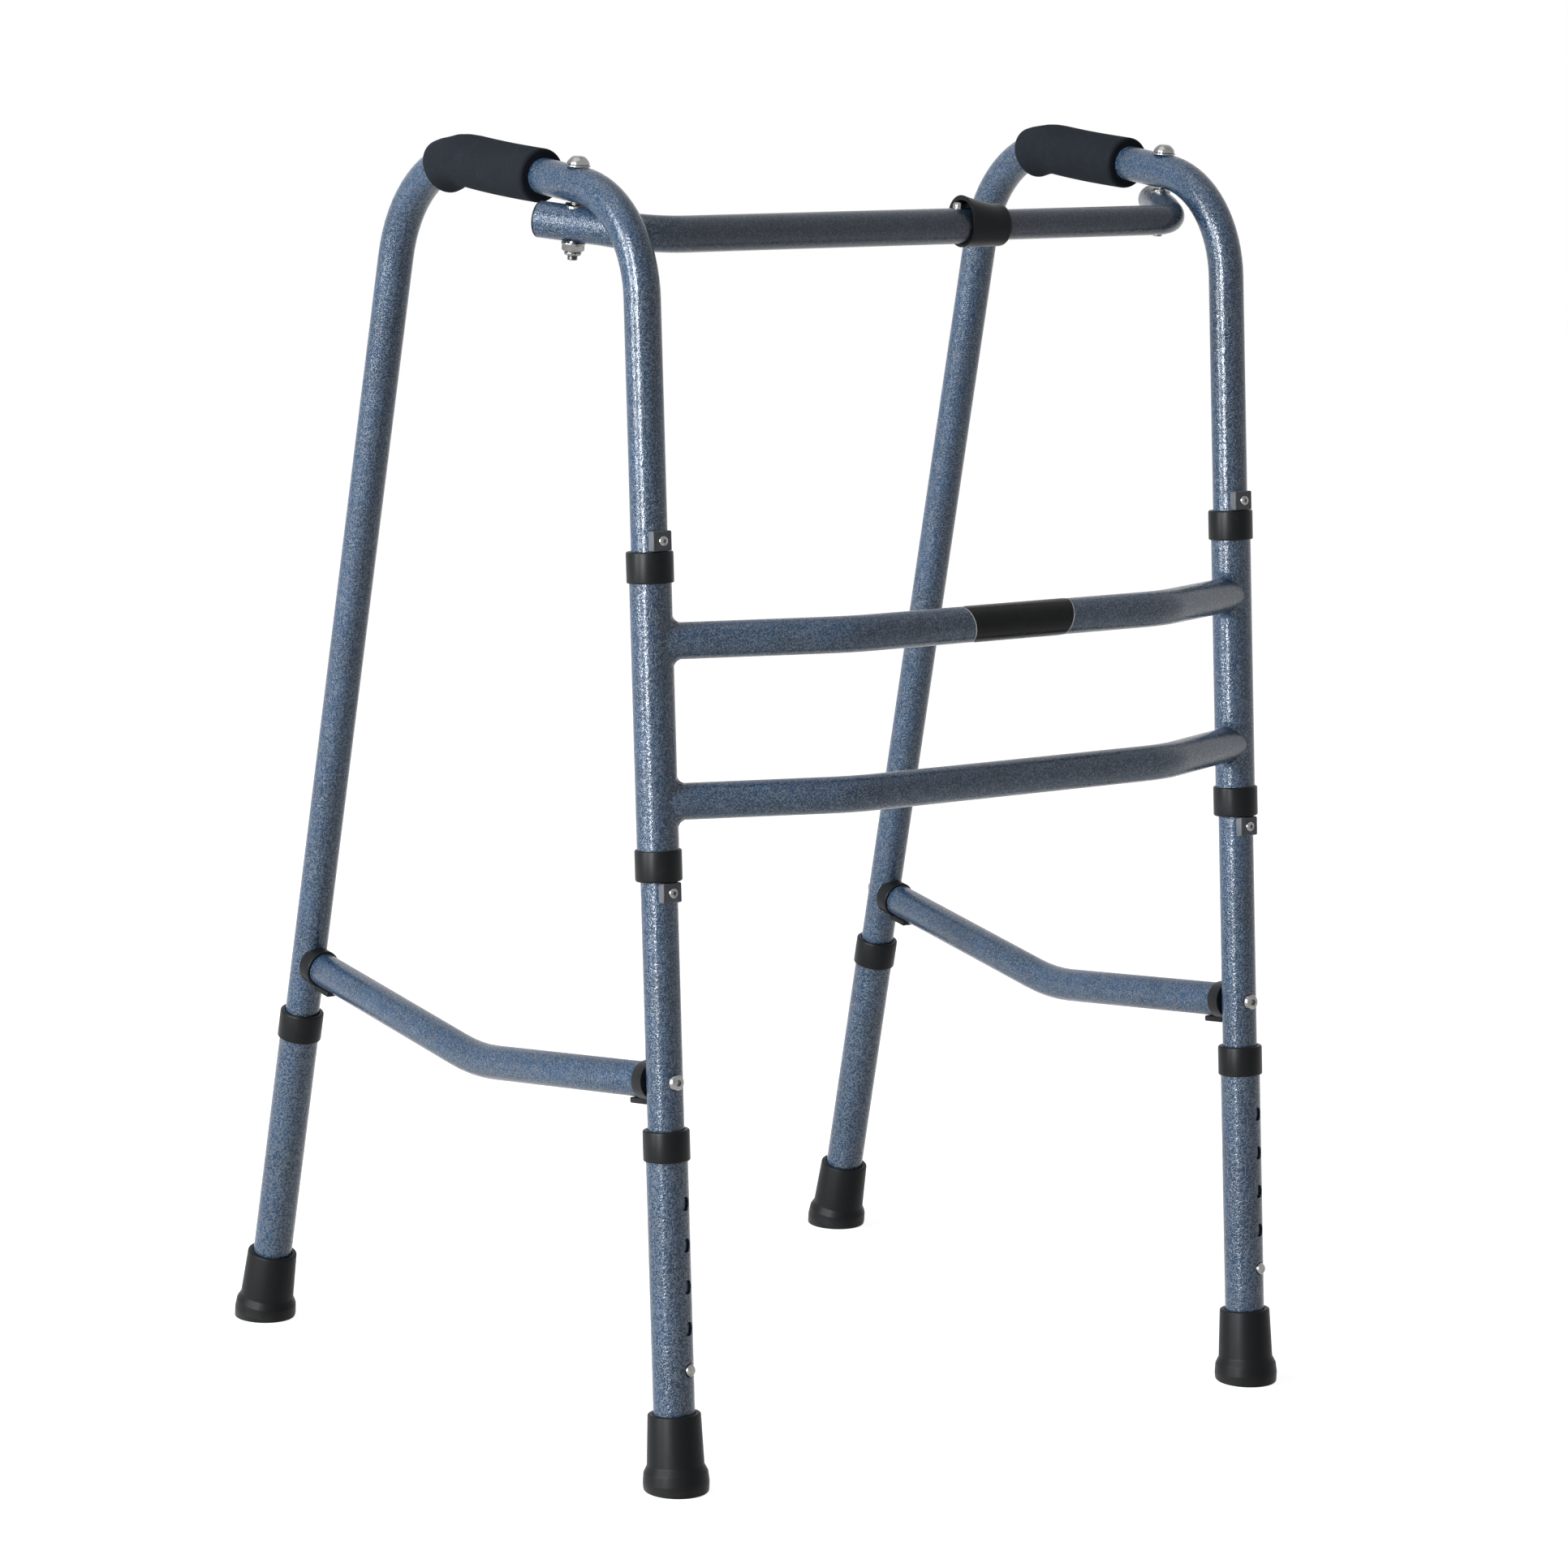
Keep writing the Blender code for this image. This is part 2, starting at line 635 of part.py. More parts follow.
def make_extension(corner, axes, way):
    """Outer tube of the leg, with its row of adjusting holes."""
    top = LEG_COLLAR_TOP - COLLAR_LIP - SEAT_GAP
    path = [Vector((0.0, 0.0, EXTENSION_BOTTOM)), Vector((0.0, 0.0, top))]
    tube = hollow_tube("leg_extension_" + corner, path, SLEEVE_RADIUS, TUBE_WALL, axes, Matrix())
    holes = []
    for number in range(HOLE_COUNT):
        centre = Vector((0.0, 0.0, BUTTON_UP + number * HOLE_PITCH))
        holes.append((centre, centre + way * CUT_REACH, BUTTON_RADIUS + HOLE_CLEARANCE))
    combine(tube, rods("extension_holes_" + corner, axes, holes), "DIFFERENCE")
    finish(tube, SPOTTED_SILVER)


def make_collar(name, axes, face, way):
    """Collar on the end of a sleeve: a skirt around the tube and a lip that runs on the leg."""
    skirt = SLEEVE_RADIUS + COLLAR_CLEARANCE
    lip = LEG_RADIUS + SLIDE_CLEARANCE
    cut = COLLAR_CHAMFER
    profile = [(COLLAR_RADIUS - cut, 0.0), (COLLAR_RADIUS, -cut), (COLLAR_RADIUS, -COLLAR_HEIGHT),
               (skirt, -COLLAR_HEIGHT), (skirt, -COLLAR_LIP), (lip, -COLLAR_LIP), (lip, 0.0)]
    local = Matrix.Translation((0.0, 0.0, face))
    if way < 0:
        local = local @ Matrix.Rotation(math.pi, 4, "X")
    finish(turned(name, profile, axes, local, closed=True), BLACK_PLASTIC)


def clip_mesh(name, reach):
    """The bent leaf of a snap clip, its button leg on +X, its bend above."""
    outer = Vector((reach, 0.0, 0.0))
    top = Vector((CLIP_TOP_HALF, 0.0, CLIP_TOP_UP))
    below = Vector((0.0, 0.0, -CLIP_LEG_BELOW))
    above = Vector((0.0, 0.0, CLIP_LEG_ABOVE))
    across = Vector((-2.0, 0.0, 0.0))
    mirrored_top = top + across * top.x
    mirrored = outer + across * outer.x
    corners = [outer + below, outer + above, top, mirrored_top, mirrored + above, mirrored + below]
    bends = (CLIP_LEG_BEND, CLIP_TOP_BEND, CLIP_TOP_BEND, CLIP_LEG_BEND)
    path = rounded_path(corners, bends, CLIP_ARC_STEP)
    shape = bmesh.new()
    verts = [shape.verts.new(point + Vector((0.0, -CLIP_LEAF_WIDTH / 2, 0.0))) for point in path]
    edges = [shape.edges.new(pair) for pair in zip(verts, verts[1:])]
    grown = bmesh.ops.extrude_edge_only(shape, edges=edges)
    moved = [item for item in grown["geom"] if isinstance(item, bmesh.types.BMVert)]
    bmesh.ops.translate(shape, verts=moved, vec=(0.0, CLIP_LEAF_WIDTH, 0.0))
    bmesh.ops.recalc_face_normals(shape, faces=shape.faces)
    mesh = bpy.data.meshes.new(name)
    shape.to_mesh(mesh)
    shape.free()
    return mesh


def make_snap_clip(name, axes, local, bore, radius, top):
    """Leaf spring inside a tube, with the button that stands out through the holes."""
    reach = math.sqrt(bore * bore - CLIP_LEAF_WIDTH * CLIP_LEAF_WIDTH / 4)
    reach -= CLIP_WALL_GAP + CLIP_LEAF_THICKNESS / 2
    clip = new_object(name, clip_mesh(name, reach), axes, local)
    add_wall(clip, CLIP_LEAF_THICKNESS, 0.0)
    profile = [*dome(radius, top - BUTTON_DOME, BUTTON_DOME, BUTTON_DOME_STEPS),
               (radius, reach), (0.0, reach)]
    outward = local @ Matrix.Rotation(math.pi / 2, 4, "Y")
    button = turned(name + "_button", profile, axes, outward, SMALL_SIDES, collection=CUTTERS)
    combine(clip, as_cutter(button), "UNION")
    finish(clip, BRIGHT_ZINC)


def make_leg_clip(corner, axes, way):
    """Snap clip in the leg tube, its button through the leg and its extension."""
    local = Matrix.Translation((0.0, 0.0, BUTTON_UP))
    local = local @ Matrix.Rotation(math.atan2(way.y, way.x), 4, "Z")
    top = SLEEVE_RADIUS + BUTTON_PROUD
    make_snap_clip("snap_clip_" + corner, axes, local, LEG_RADIUS - TUBE_WALL, BUTTON_RADIUS, top)


def make_rubber_tip(corner, axes):
    """Flared rubber foot, its sole cut flat on the floor."""
    bore = SLEEVE_RADIUS + COLLAR_CLEARANCE
    seat = EXTENSION_BOTTOM - SEAT_GAP
    neck = TIP_NECK_RADIUS
    middle = (TIP_WAIST_UP + TIP_FLARE_UP) / 2
    profile = [(0.0, seat), (bore, seat), (bore, TIP_TOP), (neck - TIP_ROUND_OFF, TIP_TOP),
               (neck, TIP_TOP - TIP_ROUND_OFF), (TIP_WAIST_RADIUS, TIP_WAIST_UP),
               (TIP_WAIST_RADIUS + TIP_SINK, middle), (TIP_FLARE_RADIUS, TIP_FLARE_UP),
               (TIP_FLARE_RADIUS, -TIP_STOCK_BELOW), (0.0, -TIP_STOCK_BELOW)]
    tip = turned("rubber_tip_" + corner, profile, axes, Matrix())
    floor = block("floor_" + corner, Vector((-FLOOR_BLOCK, -FLOOR_BLOCK, -FLOOR_BLOCK)),
                  Vector((FLOOR_BLOCK, FLOOR_BLOCK, 0.0)), None, Matrix(), CUTTERS)
    spot = (axes.matrix_world @ Vector((0.0, 0.0, 0.0))).to_2d()
    floor.location = (spot.x, spot.y, 0.0)
    combine(tip, as_cutter(floor), "DIFFERENCE")
    finish(tip, BLACK_RUBBER)


# Front frame

def make_hinge_sleeve(label, axes):
    """Upright tube of the front frame, with a collar on each end."""
    low = LOWER_COLLAR_BOTTOM + COLLAR_LIP + SEAT_GAP
    high = UPPER_COLLAR_TOP - COLLAR_LIP - SEAT_GAP
    path = [Vector((0.0, 0.0, low)), Vector((0.0, 0.0, high))]
    finish(hollow_tube("hinge_sleeve_" + label, path, SLEEVE_RADIUS, TUBE_WALL, axes, Matrix()),
           VEINED_BLUE)
    make_collar("upper_collar_" + label, axes, UPPER_COLLAR_TOP, 1)
    make_collar("lower_collar_" + label, axes, LOWER_COLLAR_BOTTOM, -1)


def weld_path(joint, way, sleeve_way):
    """The closed line where a crossbar's surface meets a sleeve's surface."""
    level = way.cross(sleeve_way).normalized()
    upright = level.cross(way).normalized()
    points = []
    for step in range(RAIL_SIDES):
        angle = math.tau * step / RAIL_SIDES
        offset = (level * math.cos(angle) + upright * math.sin(angle)) * CROSSBAR_RADIUS
        across = offset - sleeve_way * offset.dot(sleeve_way)
        flat_way = way - sleeve_way * way.dot(sleeve_way)
        half = across.dot(flat_way)
        size = flat_way.dot(flat_way)
        rest = across.dot(across) - (SLEEVE_RADIUS + SEAT_GAP) ** 2
        distance = (-half + math.sqrt(half * half - size * rest)) / size
        points.append(joint + offset + way * distance)
    return points


def weld_bead(name, points):
    """A closed bead along a weld line."""
    data = bpy.data.curves.new(name, "CURVE")
    data.dimensions = "3D"
    data.bevel_depth = WELD_RADIUS
    data.bevel_resolution = 0
    spline = data.splines.new("POLY")
    spline.points.add(len(points) - 1)
    for target, point in zip(spline.points, points):
        target.co = (*point, 1.0)
    spline.use_cyclic_u = True
    curve = bpy.data.objects.new(name, data)
    bpy.context.scene.collection.objects.link(curve)
    bpy.context.view_layer.update()
    depsgraph = bpy.context.evaluated_depsgraph_get()
    mesh = bpy.data.meshes.new_from_object(curve.evaluated_get(depsgraph))
    bpy.data.objects.remove(curve, do_unlink=True)
    shape = bmesh.new()
    shape.from_mesh(mesh)
    bmesh.ops.remove_doubles(shape, verts=shape.verts, dist=0.00001)
    bmesh.ops.recalc_face_normals(shape, faces=shape.faces)
    shape.to_mesh(mesh)
    shape.free()
    return as_cutter(new_object(name, mesh, None, Matrix(), CUTTERS))


def make_crossbar(level, up):
    """Bowed crossbar with a weld bead at each end, coped to the sleeves."""
    name = level + "_crossbar"
    joints = [leg_axis_matrix(sign) @ Vector((0.0, 0.0, up)) for _, sign in SIDES]
    kinks = [joint + Vector((-sign * CROSSBAR_END_RUN, -CROSSBAR_BOW, CROSSBAR_RISE))
             for joint, (_, sign) in zip(joints, SIDES)]
    path = rounded_path([joints[0], *kinks, joints[1]], (CROSSBAR_BEND, CROSSBAR_BEND))
    bar = hollow_tube(name, path, CROSSBAR_RADIUS, TUBE_WALL, None, Matrix(), RAIL_SIDES)
    sleeve_way = (leg_axis_matrix(1).to_3x3() @ Vector((0.0, 0.0, 1.0))).normalized()
    for (label, _), joint, kink in zip(SIDES, joints, kinks):
        line = weld_path(joint, (kink - joint).normalized(), sleeve_way)
        combine(bar, weld_bead("{}_weld_{}".format(level, label), line), "UNION")
    room = [through(joint, sleeve_way, 3 * SLEEVE_RADIUS, SLEEVE_RADIUS + SEAT_GAP) for joint in joints]
    combine(bar, rods(level + "_sleeve_room", None, room, CUTTER_SIDES), "DIFFERENCE")
    finish(bar, VEINED_BLUE)


# Top bar

def bar_pivot(side_axes, tube_radius):
    """Where a bar end's axis crosses its bolt, and the bolt's direction, in world axes."""
    spacing = LEG_RADIUS + BAR_GAP + tube_radius
    matrix = side_axes.matrix_world
    point = matrix @ (BOLT_POINT - HANDLE_NORMAL * spacing)
    return point, (matrix.to_3x3() @ HANDLE_NORMAL).normalized()


def bar_hook(pivot, bolt_way, sign, tip_length):
    """Tip, knee and corner of one end of the bar."""
    slanted = Vector((sign * math.sin(BAR_SLANT), math.cos(BAR_SLANT), 0.0))
    outward = (slanted - bolt_way * slanted.dot(bolt_way)).normalized()
    corner = pivot - slanted * BAR_HOOK
    corner.z = pivot.z - BAR_DROP
    return [pivot + outward * tip_length, pivot - outward * BAR_KNEE, corner]


def make_bar_end(label, axes, tip, tube_radius):
    """Plug in the tip of a bar end, in axes whose Z runs out of the tip."""
    rim = PLUG_RIM
    stem = tube_radius - TUBE_WALL - COLLAR_CLEARANCE
    profile = [(0.0, rim), (tube_radius - rim / 2, rim), (tube_radius, rim / 2),
               (tube_radius, SEAT_GAP), (stem, SEAT_GAP), (stem, -PLUG_DEPTH), (0.0, -PLUG_DEPTH)]
    finish(turned("bar_plug_" + label, profile, axes, tip), BLACK_PLASTIC)


def make_bolt_head(label, axes):
    """Dome head and upper shank of a pivot bolt, held in the handle."""
    seat = LEG_RADIUS + SEAT_GAP
    flange = seat + BOLT_FLANGE
    foot = BOLT_SHANK_RECESS - LEG_RADIUS
    cut = BOLT_FOOT_CHAMFER
    head = dome(BOLT_HEAD_RADIUS, flange, BOLT_HEAD_HEIGHT - BOLT_FLANGE, BOLT_DOME_STEPS)
    profile = [*head, (BOLT_FLANGE_RADIUS, flange), (BOLT_FLANGE_RADIUS, seat), (BOLT_RADIUS, seat),
               (BOLT_RADIUS, foot + cut), (BOLT_RADIUS - cut, foot), (0.0, foot)]
    local = axis_matrix(BOLT_POINT, HANDLE_NORMAL)
    finish(turned("bar_bolt_head_" + label, profile, axes, local), BRIGHT_ZINC)


def make_bolt_foot(label, axes, local, tube_way, tube_radius):
    """Lower shank, washer and lock nut of a pivot bolt, held on the bar."""
    seat = -(tube_radius + SEAT_GAP)
    nut_foot = seat - NUT_FLANGE - NUT_HEIGHT
    tail = nut_foot - BOLT_TAIL
    top = tube_radius + WASHER_THICKNESS
    profile = [(0.0, top), (BOLT_RADIUS, top), (BOLT_RADIUS, tail + BOLT_TAIL_CHAMFER),
               (BOLT_RADIUS - BOLT_TAIL_CHAMFER, tail), (0.0, tail)]
    finish(turned("bar_bolt_shank_" + label, profile, axes, local, SMALL_SIDES), BRIGHT_ZINC)

    bore = BOLT_RADIUS + HOLE_CLEARANCE
    stock = [(WASHER_RADIUS, 2 * tube_radius), (WASHER_RADIUS, 0.0), (bore, 0.0), (bore, 2 * tube_radius)]
    washer = turned("bar_washer_" + label, stock, axes, local, closed=True)
    origin = local @ Vector((0.0, 0.0, 0.0))
    under = through(origin, tube_way, 2 * WASHER_RADIUS, tube_radius + SEAT_GAP)
    over = through(origin, tube_way, 2 * WASHER_RADIUS, tube_radius + SEAT_GAP + WASHER_THICKNESS)
    combine(washer, rods("washer_over_" + label, axes, [over], CUTTER_SIDES), "INTERSECT")
    combine(washer, rods("washer_under_" + label, axes, [under], CUTTER_SIDES), "DIFFERENCE")
    finish(washer, BRIGHT_ZINC)

    flange = [(0.0, seat), (NUT_FLANGE_RADIUS, seat), (NUT_FLANGE_RADIUS, seat - NUT_FLANGE),
              (0.0, seat - NUT_FLANGE)]
    nut = turned("bar_nut_" + label, flange, axes, local)
    body_radius = NUT_ACROSS_FLATS / math.sqrt(3.0)
    body = [(0.0, seat - NUT_FLANGE / 2), (body_radius, seat - NUT_FLANGE / 2), (body_radius, nut_foot),
            (0.0, nut_foot)]
    hexagon = turned("nut_body_" + label, body, axes, local, 6, collection=CUTTERS)
    combine(nut, as_cutter(hexagon), "UNION")
    bolt_way = (local.to_3x3() @ Vector((0.0, 0.0, 1.0))).normalized()
    nut_bore = through(origin, bolt_way, 2 * abs(nut_foot), bore)
    combine(nut, rods("nut_bore_" + label, axes, [nut_bore]), "DIFFERENCE")
    finish(nut, BRIGHT_ZINC)


def make_top_bar(left_side, right_side):
    """Telescoping bar: outer tube on the left pivot, inner tube on the right one."""
    left_pivot, left_bolt = bar_pivot(left_side, BAR_RADIUS)
    right_pivot, right_bolt = bar_pivot(right_side, BAR_INNER_RADIUS)
    left_hook = bar_hook(left_pivot, left_bolt, -1, BAR_LEFT_TIP)
    right_hook = bar_hook(right_pivot, right_bolt, 1, BAR_RIGHT_TIP)
    level = left_hook[2].z
    right_hook[2].z = level
    right_hook[2].y = left_hook[2].y
    axis_y = left_hook[2].y
    hinge_way = (leg_axis_matrix(-1).to_3x3() @ Vector((0.0, 0.0, 1.0))).normalized()
    outer_place = axis_matrix(left_pivot, hinge_way)
    outer_axes = new_empty("top_bar_pivot", None, outer_place)
    inner_axes = new_empty("top_bar_slide", outer_axes,
                           outer_place.inverted() @ Matrix.Translation(right_hook[2]))
    bpy.context.view_layer.update()

    mouth = Vector((BAR_MOUTH_X, axis_y, level))
    make_bar_tube("left", outer_axes, [*left_hook, mouth], BAR_LEFT_BEND, BAR_RADIUS,
                  left_pivot, left_bolt, "bar_outer_tube", SLATE_BLUE)
    inner_end = Vector((BAR_MOUTH_X - BAR_OVERLAP, axis_y, level))
    make_bar_tube("right", inner_axes, [*right_hook, inner_end], BAR_RIGHT_BEND, BAR_INNER_RADIUS,
                  right_pivot, right_bolt, "bar_inner_tube", SLATE_BLUE)
    make_lock(outer_axes, inner_axes, axis_y, level)


def world_to(axes, matrix):
    """A world placement written in a carrier's own axes."""
    return axes.matrix_world.inverted() @ matrix


def make_bar_tube(label, axes, corners, bend, radius, pivot, bolt_way, name, look):
    """One length of the bar with its bolt and button holes, bolt foot and end plug."""
    path = rounded_path(corners, (BAR_KNEE_BEND, bend))
    local = world_to(axes, Matrix())
    tube = hollow_tube(name, path, radius, TUBE_WALL, axes, local, RAIL_SIDES)
    reach = CUT_REACH
    middle = lock_button_point(corners[-1].y, corners[-1].z)
    up = Vector((0.0, 0.0, 1.0))
    holes = [through(pivot, bolt_way, reach, BOLT_RADIUS + HOLE_CLEARANCE),
             (middle, middle + up * reach, LOCK_BUTTON_RADIUS + HOLE_CLEARANCE)]
    holes_cutter = rods(name + "_holes", axes, holes)
    holes_cutter.matrix_local = local
    combine(tube, holes_cutter, "DIFFERENCE")
    finish(tube, look)
    tip_way = (corners[0] - corners[1]).normalized()
    across = tip_way.cross(bolt_way).normalized()
    turn = Matrix((across, tip_way, across.cross(tip_way))).transposed().to_4x4()
    foot = world_to(axes, Matrix.Translation(pivot) @ turn)
    tube_way = (foot.to_3x3() @ Vector((0.0, 1.0, 0.0))).normalized()
    make_bolt_foot(label, axes, foot, tube_way, radius)
    end_turn = Matrix((across, tip_way.cross(across), tip_way)).transposed().to_4x4()
    make_bar_end(label, axes, world_to(axes, Matrix.Translation(corners[0]) @ end_turn), radius)


def lock_button_point(axis_y, level):
    """Where the axis of the lock button crosses the bar's axis."""
    return Vector((LOCK_LEFT_X - LOCK_BUTTON_LEAD, axis_y, level))


def lock_hood_mesh(name):
    """A tapering hood: a round section at the mouth and a smaller, lower one at the far end."""
    shape = bmesh.new()
    rings = []
    for along, radius, rise in ((0.0, LOCK_RADIUS, LOCK_HOOD_RISE),
                                (LOCK_HOOD_LENGTH, LOCK_RADIUS - LOCK_CORNER, LOCK_CORNER / 2)):
        place_ring = Matrix.Translation((along, 0.0, rise)) @ Matrix.Rotation(math.pi / 2, 4, "Y")
        ring = bmesh.ops.create_circle(shape, segments=TUBE_SIDES, radius=radius, matrix=place_ring)
        rings.append(ring["verts"])
    edges = [edge for edge in shape.edges]
    bmesh.ops.bridge_loops(shape, edges=edges)
    bmesh.ops.holes_fill(shape, edges=shape.edges)
    bmesh.ops.recalc_face_normals(shape, faces=shape.faces)
    mesh = bpy.data.meshes.new(name)
    shape.to_mesh(mesh)
    shape.free()
    return mesh


def make_lock(outer_axes, inner_axes, axis_y, level):
    """Lock sleeve at the mouth of the outer tube, and the button it shields."""
    local = world_to(outer_axes, Matrix.Translation((LOCK_LEFT_X, axis_y, level)))
    along = local @ Matrix.Rotation(math.pi / 2, 4, "Y")
    mouth = BAR_MOUTH_X + SEAT_GAP - LOCK_LEFT_X
    wide = BAR_RADIUS + COLLAR_CLEARANCE
    narrow = BAR_INNER_RADIUS + SLIDE_CLEARANCE
    end = LOCK_RADIUS - LOCK_CORNER
    profile = [(narrow, LOCK_LENGTH), (end, LOCK_LENGTH), (LOCK_RADIUS, LOCK_LENGTH - 1.5 * LOCK_CORNER),
               (LOCK_RADIUS, 0.0), (wide, 0.0), (wide, mouth), (narrow, mouth)]
    sleeve = turned("bar_lock_sleeve", profile, outer_axes, along, closed=True)
    hood = new_object("lock_hood", lock_hood_mesh("lock_hood"), outer_axes, local, CUTTERS)
    combine(sleeve, as_cutter(hood), "UNION")
    pocket = (local @ Vector((-LOCK_POCKET_DEPTH, 0.0, LOCK_HOOD_RISE)),
              local @ Vector((LOCK_POCKET_DEPTH, 0.0, LOCK_HOOD_RISE)), LOCK_RADIUS - LOCK_POCKET_WALL)
    combine(sleeve, rods("lock_pocket", outer_axes, [pocket], CUTTER_SIDES), "DIFFERENCE")
    axis_point = local @ Vector((0.0, 0.0, 0.0))
    bar_way = (local.to_3x3() @ Vector((1.0, 0.0, 0.0))).normalized()
    wide_bore = (axis_point - bar_way * LOCK_LENGTH, axis_point + bar_way * mouth, wide)
    narrow_bore = (axis_point, axis_point + bar_way * 2 * LOCK_LENGTH, narrow)
    combine(sleeve, rods("lock_wide_bore", outer_axes, [wide_bore], CUTTER_SIDES), "DIFFERENCE")
    combine(sleeve, rods("lock_narrow_bore", outer_axes, [narrow_bore], CUTTER_SIDES), "DIFFERENCE")
    finish(sleeve, BLACK_PLASTIC)

    point = lock_button_point(axis_y, level)
    upward = Matrix(((0.0, 0.0, 1.0), (0.0, -1.0, 0.0), (1.0, 0.0, 0.0))).transposed().to_4x4()
    lay = Matrix.Translation(point) @ upward
    make_snap_clip("bar_lock_button", inner_axes, world_to(inner_axes, lay),
                   BAR_INNER_RADIUS - TUBE_WALL, LOCK_BUTTON_RADIUS, BAR_RADIUS + LOCK_BUTTON_PROUD)


# The whole walker

def make_side(label, sign):
    """One side frame with everything that it carries."""
    axes = new_empty("hinge_axis_" + label, None, side_matrix(sign))
    rear = new_empty("rear_leg_axis_" + label, axes, rear_matrix())
    bpy.context.view_layer.update()
    make_side_tube(label, axes)
    make_grip(label, axes)
    make_stops(label, axes)
    make_brace(label, axes)
    make_brace_end(label, "front", axes, BRACE_FRONT, Vector((0.0, 0.0, 1.0)))
    make_brace_end(label, "rear", axes, BRACE_REAR, REAR_DIRECTION)
    make_leg("front_" + label, axes, "front")
    make_leg("rear_" + label, rear, "rear")
    make_bolt_head(label, axes)
    return axes


def make_front_frame():
    """Sleeves, collars and crossbars."""
    for label, sign in SIDES:
        axes = new_empty("sleeve_axis_" + label, None, leg_axis_matrix(sign))
        bpy.context.view_layer.update()
        make_hinge_sleeve(label, axes)
    make_crossbar("upper", UPPER_CROSSBAR_UP)
    make_crossbar("lower", LOWER_CROSSBAR_UP)


def main():
    """Build every piece of the walker."""
    make_front_frame()
    left, right = (make_side(label, sign) for label, sign in SIDES)
    make_top_bar(left, right)
    bpy.context.view_layer.update()


main()
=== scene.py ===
"""Finished looks of a folding walker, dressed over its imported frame.

Metres, +Z up, the walker's front towards -Y, left and right as seen from the front.
Layout sizes repeat the frame's, so that each piece lies where the solid it stands for does.
"""

import math

import bmesh
import bpy
from bpy.props import FloatProperty, FloatVectorProperty, IntProperty, PointerProperty
from mathutils import Matrix, Vector


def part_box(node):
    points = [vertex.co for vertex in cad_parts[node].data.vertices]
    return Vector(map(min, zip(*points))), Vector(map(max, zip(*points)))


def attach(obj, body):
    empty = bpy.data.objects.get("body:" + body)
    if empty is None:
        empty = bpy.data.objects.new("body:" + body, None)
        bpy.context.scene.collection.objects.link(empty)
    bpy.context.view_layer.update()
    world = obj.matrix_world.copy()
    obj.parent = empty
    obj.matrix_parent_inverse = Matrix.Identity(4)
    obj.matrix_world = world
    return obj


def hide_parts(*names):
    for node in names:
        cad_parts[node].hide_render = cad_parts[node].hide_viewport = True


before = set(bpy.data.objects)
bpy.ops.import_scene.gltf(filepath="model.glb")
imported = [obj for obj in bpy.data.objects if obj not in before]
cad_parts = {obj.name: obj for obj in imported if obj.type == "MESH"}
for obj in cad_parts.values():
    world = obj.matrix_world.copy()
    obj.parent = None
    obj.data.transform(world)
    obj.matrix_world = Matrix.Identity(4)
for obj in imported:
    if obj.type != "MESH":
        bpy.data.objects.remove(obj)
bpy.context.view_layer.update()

bl_info = {
    "name": "Folding walker finish",
    "version": (1, 0, 0),
    "blender": (4, 5, 0),
    "location": "View3D > Sidebar > Walker",
    "description": "Tubes, foam grips, fittings and finishes of a folding walker",
    "category": "Object",
}

# Layout, as in the frame
LEG_SPACING = 0.455
FOOT_DEPTH = 0.461
HANDLE_HEIGHT = 0.7722
FRONT_LEAN = math.radians(5.05)
REAR_LEAN = math.radians(10.8)
SIDE_SPLAY = math.radians(1.4)
HANDLE_RISE = math.radians(4.09)
FRONT_BEND = 0.0688
REAR_BEND = 0.0813

# Tubes
LEG_RADIUS = 0.0111
BAR_RADIUS = 0.0111
CROSSBAR_RADIUS = 0.0111
BRACE_RADIUS = 0.0108
TUBE_WALL = 0.0012
SLIDE_CLEARANCE = 0.0004
SEAT_GAP = 0.0003
SLEEVE_RADIUS = LEG_RADIUS + SLIDE_CLEARANCE + TUBE_WALL
BAR_INNER_RADIUS = BAR_RADIUS - TUBE_WALL - SLIDE_CLEARANCE

# Front frame, as distances up the front leg
UPPER_CROSSBAR_UP = 0.5136
LOWER_CROSSBAR_UP = 0.4175
UPPER_COLLAR_TOP = UPPER_CROSSBAR_UP + 0.0541
LOWER_COLLAR_BOTTOM = LOWER_CROSSBAR_UP - 0.0470
COLLAR_HEIGHT = 0.0190
COLLAR_RADIUS = 0.01425
COLLAR_LIP = 0.0040
CROSSBAR_BOW = 0.0547
CROSSBAR_END_RUN = 0.1062
CROSSBAR_RISE = 0.0048
CROSSBAR_BEND = 0.070
WELD_RIPPLES = 22
WELD_STEPS = WELD_RIPPLES * 6
WELD_SIDE = 0.0010
WELD_SINK = 0.0006
WELD_REACH = 1.6
WELD_BULGE = (0.62, 0.22)
LABEL_THICKNESS = 0.00012
LABEL_SLANT = 0.0065
LABEL_SHIFT = 0.0040
LABEL_BORDER = 0.0007
LABEL_TILT = math.radians(10.0)
LABEL_SPAN = math.radians(186.0)

# Stop brackets and their screws
STOP_WIDTH = 0.0138
STOP_HEIGHT = 0.0120
STOP_PROUD = 0.0025
STOP_DEPTH = 0.0065
STOP_SCREW_RADIUS = 0.0019
STOP_SCREW_HEAD = 0.0032
STOP_SCREW_HEIGHT = 0.0018
STOP_SCREW_BITE = 0.0030
STOP_SCREW_ROUND = 0.0012
STOP_SCREW_TURN = 0.4
RECESS_LENGTH = 0.0038
RECESS_WIDTH = 0.0009
RECESS_DEPTH = 0.0011
RECESS_TAPER = 0.45

